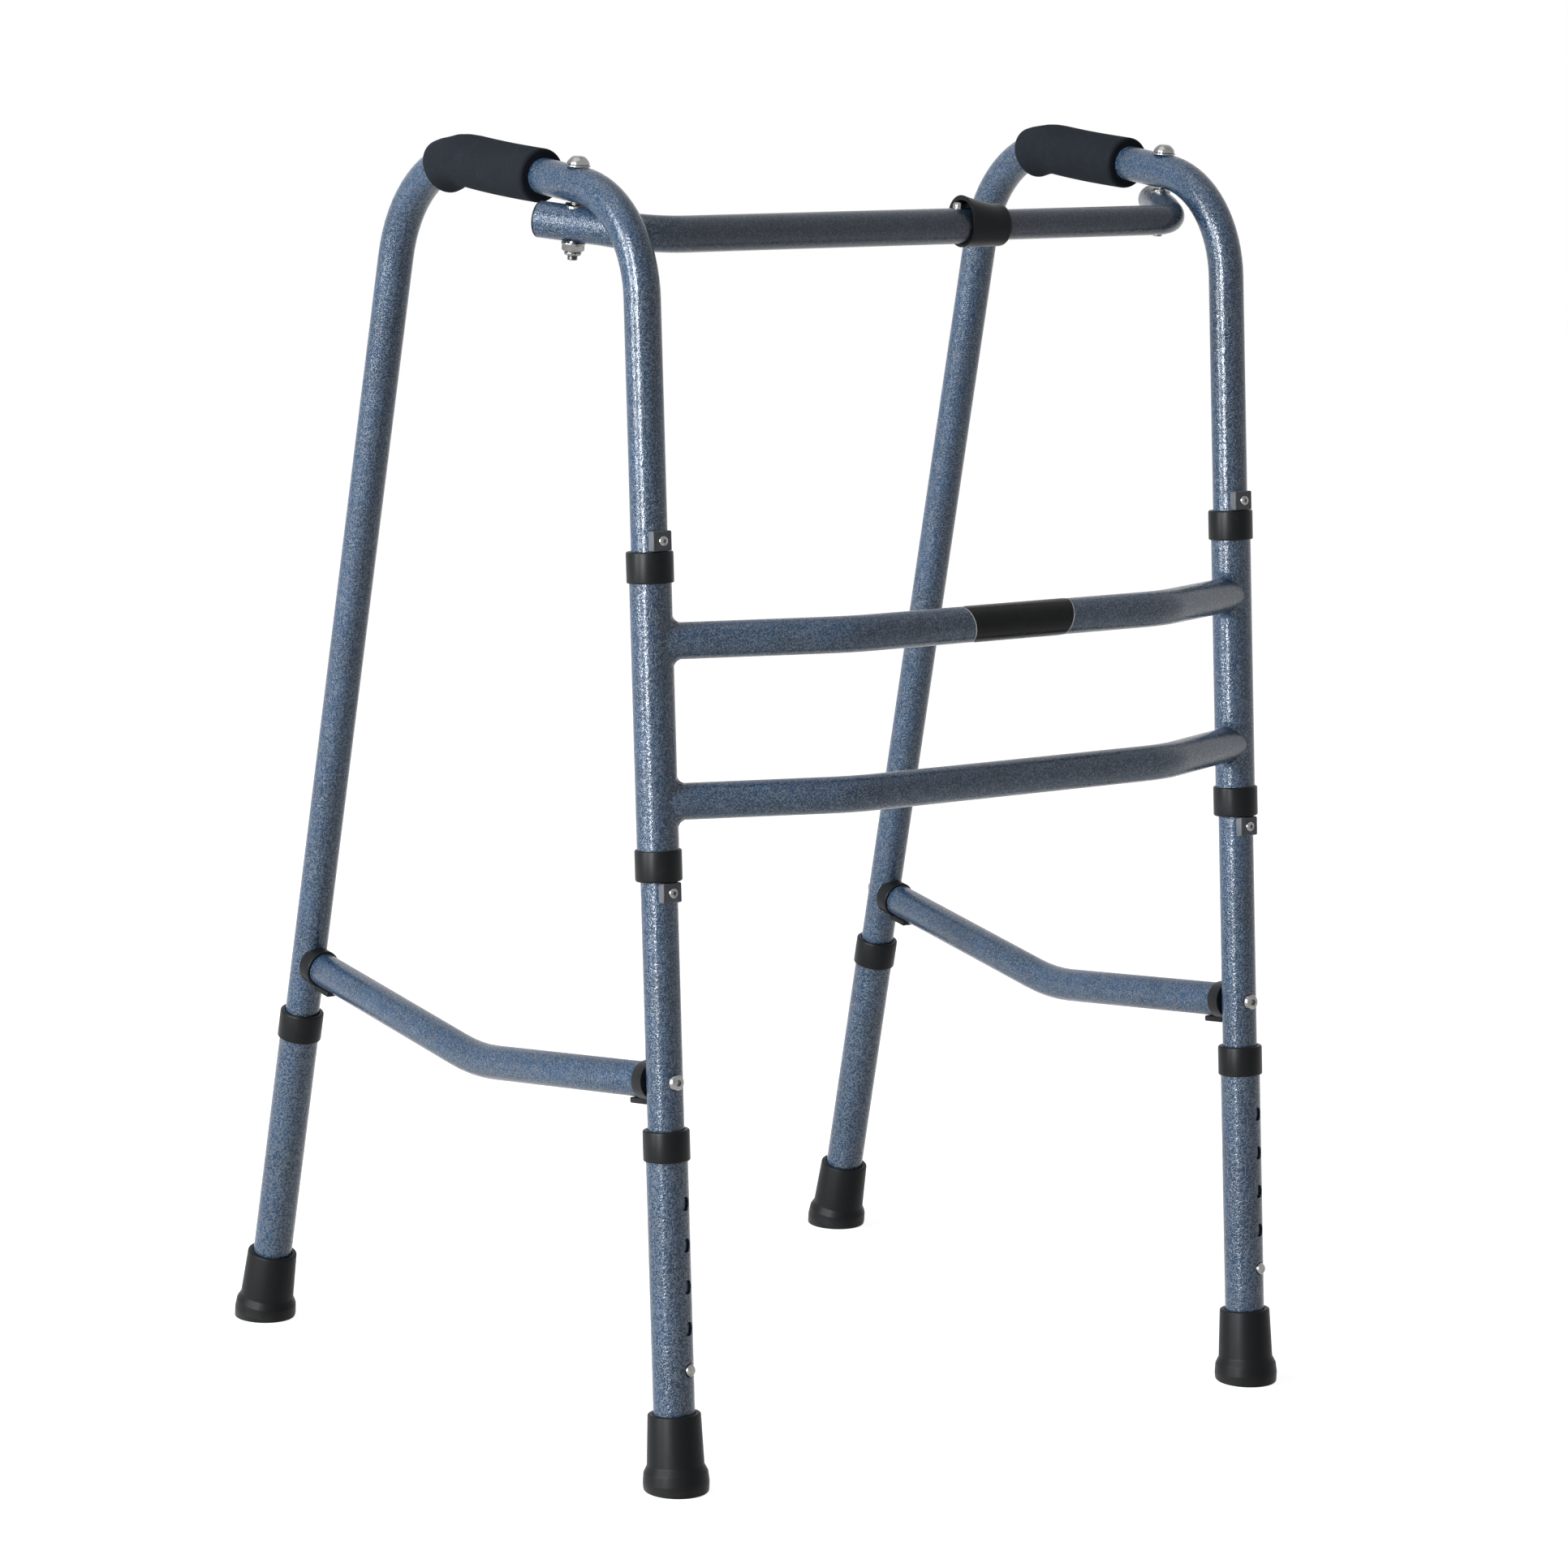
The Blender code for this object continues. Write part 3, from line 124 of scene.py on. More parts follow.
# Side brace
BRACE_FRONT_UP = 0.2493
BRACE_REAR_UP = 0.2555
BRACE_DROP = 0.0270
BRACE_BEND = 0.150
SADDLE_RADIUS = 0.0122
SADDLE_START = 0.0080
SADDLE_THICKNESS = 0.0072
TONGUE_LENGTH = 0.0130
TONGUE_WIDTH = 0.0080
TONGUE_THICKNESS = 0.0036
BRACE_BOLT_RADIUS = 0.0030
BRACE_BOLT_HEAD = 0.0052
BRACE_BOLT_RIM = 0.0010
BRACE_BOLT_DOME = 0.0022
BRACE_BOLT_BITE = 0.013
BRACE_BOLT_EDGE = 0.0003
BRACE_BOLT_ROUND = 0.0018
SHANK_ROUND = 0.0005
SOCKET_DEPTH = 0.0018
SOCKET_RADIUS = 0.0022

# Legs and feet, as distances up each leg
BUTTON_UP = 0.0745
BUTTON_RADIUS = 0.0039
BUTTON_PROUD = 0.0022
BUTTON_TURN = math.radians(19.0)
HOLE_PITCH = 0.0254
HOLE_COUNT = 5
HOLE_CLEARANCE = 0.0004
HOLE_ROUND = 0.0007
HOLE_MARGIN = 1.4
HOLE_RINGS = 4
HOLE_EDGE_ANGLE = math.radians(50.0)
LEG_TUBE_TAIL = 0.020
EXTENSION_BOTTOM = 0.0085
LEG_COLLAR_TOP = 0.2206
TIP_TOP = 0.0475
TIP_NECK_RADIUS = 0.0162
TIP_WAIST_RADIUS = 0.0175
TIP_WAIST_UP = 0.0160
TIP_SHOULDER_RADIUS = 0.0197
TIP_SHOULDER_UP = 0.0117
TIP_FLARE_RADIUS = 0.0203
TIP_FLARE_UP = 0.0055
TIP_STOCK_RADIUS = 0.0191
TIP_STOCK_BELOW = 0.0120
TIP_WAIST_ROUND = 0.0030
TIP_SHOULDER_ROUND = 0.0016
TIP_FLARE_ROUND = 0.0040
SOLE_TOLERANCE = 0.0001
SOLE_ROUND = 0.0012
TREAD_STEPS = ((0.0040, 0.0), (0.0006, -0.0012), (0.0028, 0.0), (0.0006, 0.0012),
               (0.0026, 0.0), (0.0006, -0.0012))
CLIP_LEAF_WIDTH = 0.0064
CLIP_LEAF_THICKNESS = 0.0007
CLIP_LEG_BELOW = 0.0070
CLIP_LEG_ABOVE = 0.0080
CLIP_TOP_UP = 0.0340
CLIP_TOP_HALF = 0.0035
CLIP_TOP_BEND = 0.0028
CLIP_LEG_BEND = 0.0112
CLIP_WALL_GAP = 0.0006

# Grips
GRIP_RADIUS = 0.0165
GRIP_START = 0.0990
GRIP_STEP = 0.003
GRIP_TURN_SHARE = {"left": 0.295, "right": 0.26}
GRIP_SWELL_SHARE = {"left": 1.0, "right": 0.45}
GRIP_BULGE_AT = 0.95
GRIP_DIP_AT = 0.88
GRIP_WAIST_AT = 0.80
GRIP_CREASES = 7.0

# Pivots of the top bar
BOLT_BACK = 0.0633
BOLT_RADIUS = 0.0032
BOLT_HEAD_RADIUS = 0.0067
BOLT_FLANGE_RADIUS = 0.0074
BOLT_FLANGE = 0.0011
BOLT_HEAD_HEIGHT = 0.0050
BOLT_CROWN = 0.0012
BOLT_CROWN_ROUND = 0.0040
BOLT_SIDE_ROUND = 0.0030
BOLT_SEAM = 0.0005
FLANGE_EDGE = 0.0002
FLANGE_ROUND = 0.0004
DENT_FIRMNESS = 0.9
DENT_PITCH = 0.002
BAR_GAP = 0.0015
WASHER_RADIUS = 0.0062
WASHER_THICKNESS = 0.0009
NUT_ACROSS_FLATS = 0.0112
NUT_HEIGHT = 0.0065
NUT_SWELL = 0.0004
NUT_CHAMFER = 0.0011
NUT_STEP = 0.0003
NUT_STEP_DROP = 0.0005
NUT_ROUND = 0.0006
NUT_FLANGE_RADIUS = 0.0073
NUT_FLANGE = 0.0012
NUT_COLLAR = 0.0020
BOLT_TAIL = 0.0030

# Top bar
BAR_SLANT = math.radians(30.0)
BAR_HOOK = 0.0497
BAR_KNEE = 0.0180
BAR_DROP = 0.0042
BAR_LEFT_TIP = 0.0225
BAR_RIGHT_TIP = 0.0260
BAR_LEFT_BEND = 0.045
BAR_RIGHT_BEND = 0.026
BAR_KNEE_BEND = 0.050
LOCK_LEFT_X = 0.0318
LOCK_LENGTH = 0.0315
BAR_MOUTH_X = LOCK_LEFT_X + 0.0160
BAR_OVERLAP = 0.1000
LOCK_RADIUS = 0.0133
LOCK_HOOD_RISE = 0.0058
LOCK_HOOD_LENGTH = 0.0250
LOCK_HOOD_CURVE = 1.35
LOCK_RIM_ROUND = 0.0005
LOCK_RIM_ANGLE = math.radians(55.0)
LOCK_POCKET_DEPTH = 0.0080
LOCK_POCKET_WALL = 0.0018
LOCK_CORNER = 0.0025
LOCK_HOOD_EDGE = 0.93
LOCK_BUTTON_LEAD = 0.0029
LOCK_BUTTON_RADIUS = 0.0032
LOCK_BUTTON_PROUD = 0.0036
PLUG_RIM = 0.0014
PLUG_DEPTH = 0.0100

ARC_STEP = math.radians(5.0)
CORNER_STEPS = 4
SMOOTH_ANGLE = math.radians(35.0)
SHARP_ANGLE = math.radians(40.0)
PLACE_TOLERANCE = 0.005
MERGE_DISTANCE = 0.000002

SIDES = (("left", -1), ("right", 1))


# Settings that a user would change

def number(name, description, default, unit="LENGTH"):
    """A setting that is one number."""
    return FloatProperty(name=name, description=description, default=default, unit=unit)


def colour(name, description, *channels):
    """A setting that is a colour."""
    return FloatVectorProperty(name=name, description=description, default=channels, size=3,
                               subtype="COLOR", min=0.0, max=1.0)


class WalkerSizes(bpy.types.PropertyGroup):
    """Finishing sizes of the walker's pieces."""

    tube_sides: IntProperty(name="Tube sides", description="Faces round a tube", default=48, min=12)
    small_sides: IntProperty(name="Fitting sides", description="Faces round a bolt or screw", default=36,
                             min=8)
    edge_round: number("Edge rounding", "Rounding of moulded edges", 0.0009)
    weld_radius: number("Weld bead", "Radius of a weld bead's section", 0.0023)
    weld_ripple: number("Weld ripple", "How far a bead's ripples stand out", 0.00022)
    dent_depth: number("Bolt dent", "How far a bolt presses the handle flat", 0.0004)
    dent_reach: number("Dent reach", "Half the length of a pressed flat", 0.0160)
    foam_round: number("Foam edge", "Rounding of a grip's ends", 0.0026)
    foam_swell: number("Foam swell", "How far a grip bulges at its rear bend", 0.0012)
    foam_sag: number("Foam sag", "How far a grip's foam hangs under its tube", 0.0015)
    label_length: number("Label length", "Length of the blank label", 0.084)
    label_corner: number("Label corner", "Rounding of the label's corners", 0.0060)
    thread_pitch: number("Thread pitch", "Pitch of the bolts' threads", 0.0009)


class WalkerColours(bpy.types.PropertyGroup):
    """Colours of the walker's finishes."""

    paint: colour("Blue paint", "Ground of the veined paint", 0.008, 0.048, 0.118)
    vein: colour("Silver vein", "Veins of the paint", 0.175, 0.215, 0.265)
    slate: colour("Slate paint", "Ground of the top bar's paint", 0.012, 0.034, 0.070)
    foam: colour("Foam", "Foam of the grips", 0.018, 0.023, 0.030)
    plastic: colour("Black plastic", "Collars, saddles, plugs and lock sleeve", 0.011, 0.013, 0.015)
    bracket: colour("Grey plastic", "Stop brackets", 0.160, 0.178, 0.200)
    rubber: colour("Rubber", "Feet", 0.010, 0.012, 0.014)
    dust: colour("Dust", "Floor dust on the feet", 0.16, 0.15, 0.14)
    zinc: colour("Zinc", "Bolts, nuts, screws and clips", 0.27, 0.27, 0.27)
    label: colour("Label", "Face of the blank label", 0.006, 0.007, 0.008)


class WalkerStudio(bpy.types.PropertyGroup):
    """Camera and lamps."""

    azimuth: number("Camera azimuth", "Turn of the view from the front", math.radians(36.684), "ROTATION")
    elevation: number("Camera elevation", "Tilt of the view downwards", math.radians(9.912), "ROTATION")
    roll: number("Camera roll", "Turn of the picture", math.radians(1.528), "ROTATION")
    place: FloatVectorProperty(name="Camera place", description="Where the camera stands",
                               subtype="TRANSLATION", size=3, default=(-2.09514, -2.82644, 1.00276))
    lens: number("Lens", "Focal length in millimetres on a 36 mm sensor", 126.49, "NONE")
    side_power: number("Side lamp", "Power of the tall lamp on the left", 460.0, "POWER")
    strip_power: number("Strip lamp", "Power of the strip that only reflections show", 760.0, "POWER")
    top_power: number("Top lamp", "Power of the lamp overhead", 9.0, "POWER")
    fill_power: number("Fill lamp", "Power of the lamp on the right", 0.4, "POWER")


def sizes():
    """The walker's finishing sizes."""
    return bpy.context.scene.walker_sizes


def tone(name, share=1.0):
    """One of the walker's colours, made darker or lighter by a share."""
    return tuple(min(1.0, channel * share) for channel in getattr(bpy.context.scene.walker_colours, name))


# Lines and places of the walker

def on_plane(rearward, upward):
    """A point of the side's plane in the side's own axes, whose Z runs up the front leg."""
    depth = rearward * math.cos(FRONT_LEAN) - upward * math.sin(FRONT_LEAN)
    along = rearward * math.sin(FRONT_LEAN) + upward * math.cos(FRONT_LEAN)
    return Vector((0.0, depth, along))


UP = Vector((0.0, 0.0, 1.0))
ACROSS = Vector((1.0, 0.0, 0.0))
FORWARD = Vector((0.0, -1.0, 0.0))
ORIGIN = Vector((0.0, 0.0, 0.0))
HANDLE_DIRECTION = on_plane(math.cos(HANDLE_RISE), math.sin(HANDLE_RISE))
HANDLE_NORMAL = on_plane(-math.sin(HANDLE_RISE), math.cos(HANDLE_RISE))
REAR_DIRECTION = on_plane(-math.sin(REAR_LEAN), math.cos(REAR_LEAN))
REAR_FOOT = on_plane(FOOT_DEPTH, 0.0)
PLANE_DOWN = on_plane(0.0, -1.0)
FRONT_CORNER = UP * (HANDLE_HEIGHT / math.cos(FRONT_LEAN))


def rear_corner():
    """Where the line of the handle meets the line of the rear leg."""
    to_foot = REAR_FOOT - FRONT_CORNER
    cross = HANDLE_DIRECTION.y * REAR_DIRECTION.z - HANDLE_DIRECTION.z * REAR_DIRECTION.y
    along = (to_foot.y * REAR_DIRECTION.z - to_foot.z * REAR_DIRECTION.y) / cross
    return FRONT_CORNER + HANDLE_DIRECTION * along


REAR_CORNER = rear_corner()
BRACE_FRONT = UP * BRACE_FRONT_UP
BRACE_REAR = REAR_FOOT + REAR_DIRECTION * BRACE_REAR_UP
BRACE_MIDDLE = (BRACE_FRONT + BRACE_REAR) / 2 + PLANE_DOWN * BRACE_DROP
BOLT_POINT = FRONT_CORNER + HANDLE_DIRECTION * BOLT_BACK


def walker_middle():
    """How far behind the front feet the middle of the walker's depth lies."""
    front = LOWER_CROSSBAR_UP * math.sin(FRONT_LEAN) - CROSSBAR_BOW - CROSSBAR_RADIUS
    back = FOOT_DEPTH + TIP_FLARE_RADIUS / math.cos(REAR_LEAN)
    return (front + back) / 2


def leg_axis_matrix(sign):
    """Axes of one front leg: origin at its foot on the floor, Z up the leg."""
    foot = Matrix.Translation((sign * LEG_SPACING / 2, -walker_middle(), 0.0))
    return foot @ Matrix.Rotation(-FRONT_LEAN, 4, "X")


def side_matrix(sign):
    """Axes of one side frame: the front leg's, turned outward by the splay."""
    return leg_axis_matrix(sign) @ Matrix.Rotation(-sign * SIDE_SPLAY, 4, "Z")


def rear_matrix():
    """Axes of the rear leg within the side frame."""
    return Matrix.Translation(REAR_FOOT) @ Matrix.Rotation(FRONT_LEAN + REAR_LEAN, 4, "X")


def axes_along(origin, direction):
    """Axes whose Z runs along a direction."""
    turn = direction.to_track_quat("Z", "X").to_matrix().to_4x4()
    return Matrix.Translation(origin) @ turn


def axes_of(origin, across, over, along):
    """Axes whose X, Y and Z run along three directions."""
    return Matrix.Translation(origin) @ Matrix((across, over, along)).transposed().to_4x4()


# Making shapes

class TubePen:
    """Draws a tube's skin out of a ring, along straight runs and round bends."""

    def __init__(self, start, way, radius):
        self.shape = bmesh.new()
        self.here = start.copy()
        self.way = way.normalized()
        ring = bmesh.ops.create_circle(self.shape, cap_ends=False, segments=sizes().tube_sides,
                                       radius=radius, matrix=axes_along(start, self.way))
        self.edges = list(dict.fromkeys(edge for vert in ring["verts"] for edge in vert.link_edges))

    def run(self, length, steps=1):
        """Draw straight on."""
        for _ in range(steps):
            grown = bmesh.ops.extrude_edge_only(self.shape, edges=self.edges)["geom"]
            fresh = {item for item in grown if isinstance(item, bmesh.types.BMVert)}
            self.edges = [item for item in grown
                          if isinstance(item, bmesh.types.BMEdge) and set(item.verts) <= fresh]
            push = self.way * (length / steps)
            bmesh.ops.translate(self.shape, verts=list(fresh), vec=push)
            self.here += push

    def bend(self, radius, turn, toward):
        """Draw round a bend towards a direction."""
        inward = (toward - self.way * toward.dot(self.way)).normalized()
        axis = self.way.cross(inward)
        centre = self.here + inward * radius
        steps = max(2, math.ceil(turn / ARC_STEP))
        spun = bmesh.ops.spin(self.shape, geom=self.edges, cent=centre, axis=axis, angle=turn,
                              steps=steps, use_merge=False, use_duplicate=False)["geom_last"]
        self.edges = [item for item in spun if isinstance(item, bmesh.types.BMEdge)]
        rotation = Matrix.Rotation(turn, 3, axis)
        self.here = centre + rotation @ (self.here - centre)
        self.way = rotation @ self.way


def bent_skin(corners, bends, radius):
    """The open skin of a tube through corners, each rounded by its own bend."""
    pen = TubePen(corners[0], corners[1] - corners[0], radius)
    for corner, after, bend in zip(corners[1:], corners[2:], bends):
        leave = (after - corner).normalized()
        turn = pen.way.angle(leave)
        pen.run((corner - pen.here).length - bend * math.tan(turn / 2))
        pen.bend(bend, turn, leave)
    pen.run((corners[-1] - pen.here).length)
    return pen.shape


def give_wall(shape, thickness):
    """Turn an open skin into a wall that lies inside it."""
    bmesh.ops.recalc_face_normals(shape, faces=shape.faces)
    bmesh.ops.solidify(shape, geom=list(shape.faces), thickness=thickness)
    return shape


def tube(corners, bends, radius):
    """A walled tube through corners."""
    return give_wall(bent_skin(corners, bends, radius), TUBE_WALL)


def add_rings(shape, centre, way, half, pitch):
    """Cut rings of edges across a shape, close together round a place."""
    count = math.ceil(half / pitch)
    for number in range(-count, count + 1):
        everything = shape.verts[:] + shape.edges[:] + shape.faces[:]
        bmesh.ops.bisect_plane(shape, geom=everything, dist=MERGE_DISTANCE, plane_no=way,
                               plane_co=centre + way * (pitch * number))


def corner_arc(corner, arrive, leave, radius, steps):
    """Points of the arc that rounds one corner of an outline."""
    turn = arrive.angle(leave)
    inward = (leave - arrive * arrive.dot(leave)).normalized()
    centre = corner - arrive * radius * math.tan(turn / 2) + inward * radius
    angles = [turn * step / steps for step in range(steps + 1)]
    return [centre - inward * radius * math.cos(angle) + arrive * radius * math.sin(angle)
            for angle in angles]


def rounded_line(corners, closed=False):
    """Points of a line through corners, given as places with the radius that rounds each."""
    points = []
    last = len(corners) - 1
    for index, (corner, radius) in enumerate(corners):
        if radius == 0.0 or (not closed and index in (0, last)):
            points.append(corner)
            continue
        before = corners[index - 1][0]
        after = corners[(index + 1) % len(corners)][0]
        arrive = (corner - before).normalized()
        leave = (after - corner).normalized()
        points.extend(corner_arc(corner, arrive, leave, radius, CORNER_STEPS))
    return points


def turned(outline, closed=False, sides=None):
    """A shape turned about Z from an outline of distances out, heights and, at some corners, roundings."""
    corners = [(Vector((out, 0.0, up)), sum(rounding)) for out, up, *rounding in outline]
    shape = bmesh.new()
    verts = [shape.verts.new(point) for point in rounded_line(corners, closed)]
    pairs = list(zip(verts, verts[1:]))
    if closed:
        pairs.append((verts[-1], verts[0]))
    edges = [shape.edges.new(pair) for pair in pairs]
    bmesh.ops.spin(shape, geom=verts + edges, cent=ORIGIN, axis=UP, angle=math.tau,
                   steps=sides or sizes().small_sides, use_merge=True, use_duplicate=False)
    bmesh.ops.remove_doubles(shape, verts=shape.verts, dist=MERGE_DISTANCE)
    bmesh.ops.recalc_face_normals(shape, faces=shape.faces)
    return shape


def rod(start, end, radius, sides=None):
    """A round bar between two points."""
    shape = bmesh.new()
    bmesh.ops.create_cone(shape, cap_ends=True, segments=sides or sizes().small_sides, radius1=radius,
                          radius2=radius, depth=(end - start).length,
                          matrix=axes_along((start + end) / 2, end - start))
    return shape


def rod_about(middle, reach, radius):
    """A round bar as fine as a tube, that reaches both ways from a point."""
    return rod(middle - reach, middle + reach, radius, sizes().tube_sides)


def block(low, high):
    """A box from its lowest to its highest corner."""
    shape = bmesh.new()
    place = Matrix.Translation((low + high) / 2) @ Matrix.Diagonal((*(high - low), 1.0))
    bmesh.ops.create_cube(shape, size=1.0, matrix=place)
    return shape


def moved(shape, matrix):
    """A shape put in another place."""
    bmesh.ops.transform(shape, matrix=matrix, verts=shape.verts)
    return shape


def round_edges(shape, edges, width, segments=3):
    """Round some edges of a shape."""
    bmesh.ops.bevel(shape, geom=edges, offset=width, offset_type="OFFSET", affect="EDGES",
                    segments=segments, profile=0.5, material=-1, clamp_overlap=True)
    return shape


def sharp_edges(shape, wanted=None, angle=SHARP_ANGLE):
    """The sharp edges of a shape, or those of them whose ends are both wanted."""
    found = [edge for edge in shape.edges
             if len(edge.link_faces) == 2 and edge.calc_face_angle(0.0) > angle]
    if wanted is None:
        return found
    return [edge for edge in found if all(wanted(vert.co) for vert in edge.verts)]


def loose_object(name, shape):
    """An object in the scene that holds a shape for a while."""
    mesh = bpy.data.meshes.new(name)
    shape.to_mesh(mesh)
    shape.free()
    obj = bpy.data.objects.new(name, mesh)
    bpy.context.scene.collection.objects.link(obj)
    return obj


def combined(shape, others, operation="DIFFERENCE"):
    """A shape cut by, joined with or kept inside other ones."""
    target = loose_object("worked", shape)
    tools = [loose_object("tool", other) for other in others]
    for tool in tools:
        modifier = target.modifiers.new(operation.lower(), "BOOLEAN")
        modifier.operation = operation
        modifier.object = tool
        modifier.solver = "EXACT"
    bpy.context.view_layer.update()
    result = bmesh.new()
    result.from_object(target, bpy.context.evaluated_depsgraph_get())
    for obj in (target, *tools):
        mesh = obj.data
        bpy.data.objects.remove(obj)
        bpy.data.meshes.remove(mesh)
    if not result.faces:
        raise RuntimeError("nothing is left of a shape after " + operation)
    bmesh.ops.remove_doubles(result, verts=result.verts, dist=MERGE_DISTANCE)
    return result


def piece(name, shape, place, body, slot, finish=None):
    """Make a piece from a shape: in its place, in its finish, on its body."""
    obj = loose_object(name, shape if place is None else moved(shape, place))
    obj.data.shade_smooth()
    obj.data.set_sharp_from_angle(angle=SMOOTH_ANGLE)
    obj.data.materials.append(material_for(finish or slot))
    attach(obj, body)
    return obj


def stand_in(node, shape, place, body, slot):
    """Make the piece that stands for a node, and stop where it has left that node's space."""
    obj = piece("finished_" + node, shape, place, body, slot)
    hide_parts(node)
    low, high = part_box(node)
    for axis in range(3):
        values = [vert.co[axis] for vert in obj.data.vertices]
        if max(abs(min(values) - low[axis]), abs(max(values) - high[axis])) > PLACE_TOLERANCE:
            raise RuntimeError("{} doesn't fit {} along axis {}".format(obj.name, node, axis))
    return obj


# Making finishes

class Value:
    """A number that varies over a surface; Python's operators add Math nodes to it."""

    def __init__(self, finish, socket):
        self.finish = finish
        self.socket = socket

    def worked(self, operation, first, second=None):
        """The result of one Math node."""
        inputs = {0: first} if second is None else {0: first, 1: second}
        return self.finish.value("Math", {"operation": operation}, inputs)

    def __add__(self, other):
        return self.worked("ADD", self, other)

    def __radd__(self, other):
        return self.worked("ADD", other, self)

    def __sub__(self, other):
        return self.worked("SUBTRACT", self, other)

    def __rsub__(self, other):
        return self.worked("SUBTRACT", other, self)

    def __mul__(self, other):
        return self.worked("MULTIPLY", self, other)

    def __rmul__(self, other):
        return self.worked("MULTIPLY", other, self)

    def __abs__(self):
        return self.worked("ABSOLUTE", self)


class Finish:
    """A material under way, with one method that adds any node."""

    def __init__(self, name):
        self.material = bpy.data.materials.new(name)
        self.material.use_nodes = True
        self.tree = self.material.node_tree
        self.shader = self.tree.nodes["Principled BSDF"]
        self.place = self.value("TexCoord", output="Object")

    def node(self, kind, settings=None, inputs=None):
        """Add a node, give it its settings, then its numbers or links."""
        made = self.tree.nodes.new("ShaderNode" + kind)
        for setting, given in (settings or {}).items():
            setattr(made, setting, given)
        for key, given in (inputs or {}).items():
            self.join(given, made.inputs[key])
        return made

    def join(self, given, socket):
        """Link a value to a socket, or set the socket to a plain number or colour."""
        if isinstance(given, Value):
            self.tree.links.new(given.socket, socket)
        elif socket.type == "RGBA" and len(given) == 3:
            socket.default_value = (*given, 1.0)
        else:
            socket.default_value = given

    def value(self, kind, settings=None, inputs=None, output=0):
        """One output of a new node."""
        return Value(self, self.node(kind, settings, inputs).outputs[output])

    def noise(self, scale, detail=2.0, roughness=0.5, distortion=0.0):
        """Noise over the surface, from nought to one."""
        return self.value("TexNoise", None, {"Vector": self.place, "Scale": scale, "Detail": detail,
                                             "Roughness": roughness, "Distortion": distortion})

    def eased(self, given, low, high, start=0.0, end=1.0):
        """A value mapped smoothly from one range to another."""
        return self.value("MapRange", {"interpolation_type": "SMOOTHSTEP"},
                          {"Value": given, "From Min": low, "From Max": high,
                           "To Min": start, "To Max": end})

    def mixed(self, share, first, second, blend="MIX"):
        """Two colours mixed by a share."""
        return self.value("Mix", {"data_type": "RGBA", "blend_type": blend},
                          {0: share, 6: first, 7: second}, 2)

    def give(self, **inputs):
        """Set or link the shader's sockets."""
        for name, given in inputs.items():
            self.join(given, self.shader.inputs[name.replace("_", " ")])

    def bump(self, height, strength, distance):
        """Raise the surface by a height."""
        self.join(self.value("Bump", None, {"Height": height, "Strength": strength,
                                            "Distance": distance}), self.shader.inputs["Normal"])


def veined_paint(finish, ground, vein, grain, width, cover):
    """Hammered powder paint: wandering silver veins on a darker ground."""
    wander = finish.noise(grain, detail=1.5, roughness=0.55, distortion=0.35)
    lines = 1.0 - finish.eased(abs(wander - 0.5), width * 0.45, width)
    flecks = finish.eased(finish.noise(grain * 2.1, detail=1.0), 0.60, 0.70)
    silver = finish.value("Math", {"operation": "MAXIMUM"}, {0: lines * cover, 1: flecks * (cover * 0.7)})
    cloud = finish.eased(finish.noise(38.0, detail=3.0, roughness=0.6), 0.30, 0.70)
    shade = finish.mixed(cloud, (0.82, 0.82, 0.82), (1.18, 1.18, 1.18))
    base = finish.mixed(1.0, shade, ground, "MULTIPLY")
    finish.give(Base_Color=finish.mixed(silver, base, vein), Roughness=0.20 - silver * 0.04,
                Metallic=silver * 0.35, Specular_IOR_Level=0.40)
    finish.bump(silver * 0.5 + wander * 1.6, 0.80, 0.00019)


def veined_blue_paint(finish):
    """Blue paint of the frames, finely veined."""
    veined_paint(finish, tone("paint"), tone("vein"), grain=580.0, width=0.050, cover=0.80)


def spotted_silver_paint(finish):
    """The same paint on the leg extensions, where it dried coarser and more silver."""
    veined_paint(finish, tone("paint"), tone("vein", 0.82), grain=480.0, width=0.068, cover=0.85)


def slate_blue_paint(finish):
    """Darker, finer paint of the top bar, with a painted highlight on its left end: a lighter ground and
    brighter silver veins.
    """
    across = finish.value("SeparateXYZ", None, {0: finish.place}, 0)
    # Painted highlight: towards the left end the ground eases to the frames' blue and the veins brighten,
    # set by place, not by lamps.
    end = finish.eased(across, -0.235, -0.165, 1.0, 0.0)
    ground = finish.mixed(end, tone("slate"), tone("paint"))
    vein = finish.mixed(end, tone("vein", 0.55), tone("vein", 1.1))
    veined_paint(finish, ground, vein, grain=600.0, width=0.050, cover=0.75)


def moulded(finish, name, roughness, grain, depth, shine, worn=None):
    """Satin moulded plastic or rubber in a named or a worn colour, finely grained and faintly scuffed."""
    grit = finish.noise(grain, detail=3.0, roughness=0.6)
    scuff = finish.eased(finish.noise(55.0, detail=4.0, roughness=0.65, distortion=0.6), 0.50, 0.78)
    finish.give(Base_Color=worn or finish.mixed(scuff, tone(name, 0.90), tone(name, 1.55)),
                Roughness=roughness + scuff * 0.12 + (grit - 0.5) * 0.10, Specular_IOR_Level=shine)
    finish.bump(grit, 0.35, depth)


def black_plastic(finish):
    """Satin black plastic."""
    moulded(finish, "plastic", roughness=0.36, grain=1500.0, depth=0.00008, shine=0.12)


def grey_plastic(finish):
    """Satin grey plastic."""
    moulded(finish, "bracket", roughness=0.42, grain=1400.0, depth=0.00008, shine=0.22)


def black_rubber(finish):
    """Matt black rubber, dusty where it meets the floor."""
    height = finish.value("SeparateXYZ", None, {0: finish.place}, 2)
    cover = (1.0 - finish.eased(height, 0.001, 0.009)) * finish.noise(160.0, detail=4.0, roughness=0.7)
    worn = finish.mixed(cover * 0.22, tone("rubber"), tone("dust"))
    moulded(finish, "rubber", roughness=0.42, grain=1100.0, depth=0.00010, shine=0.10, worn=worn)


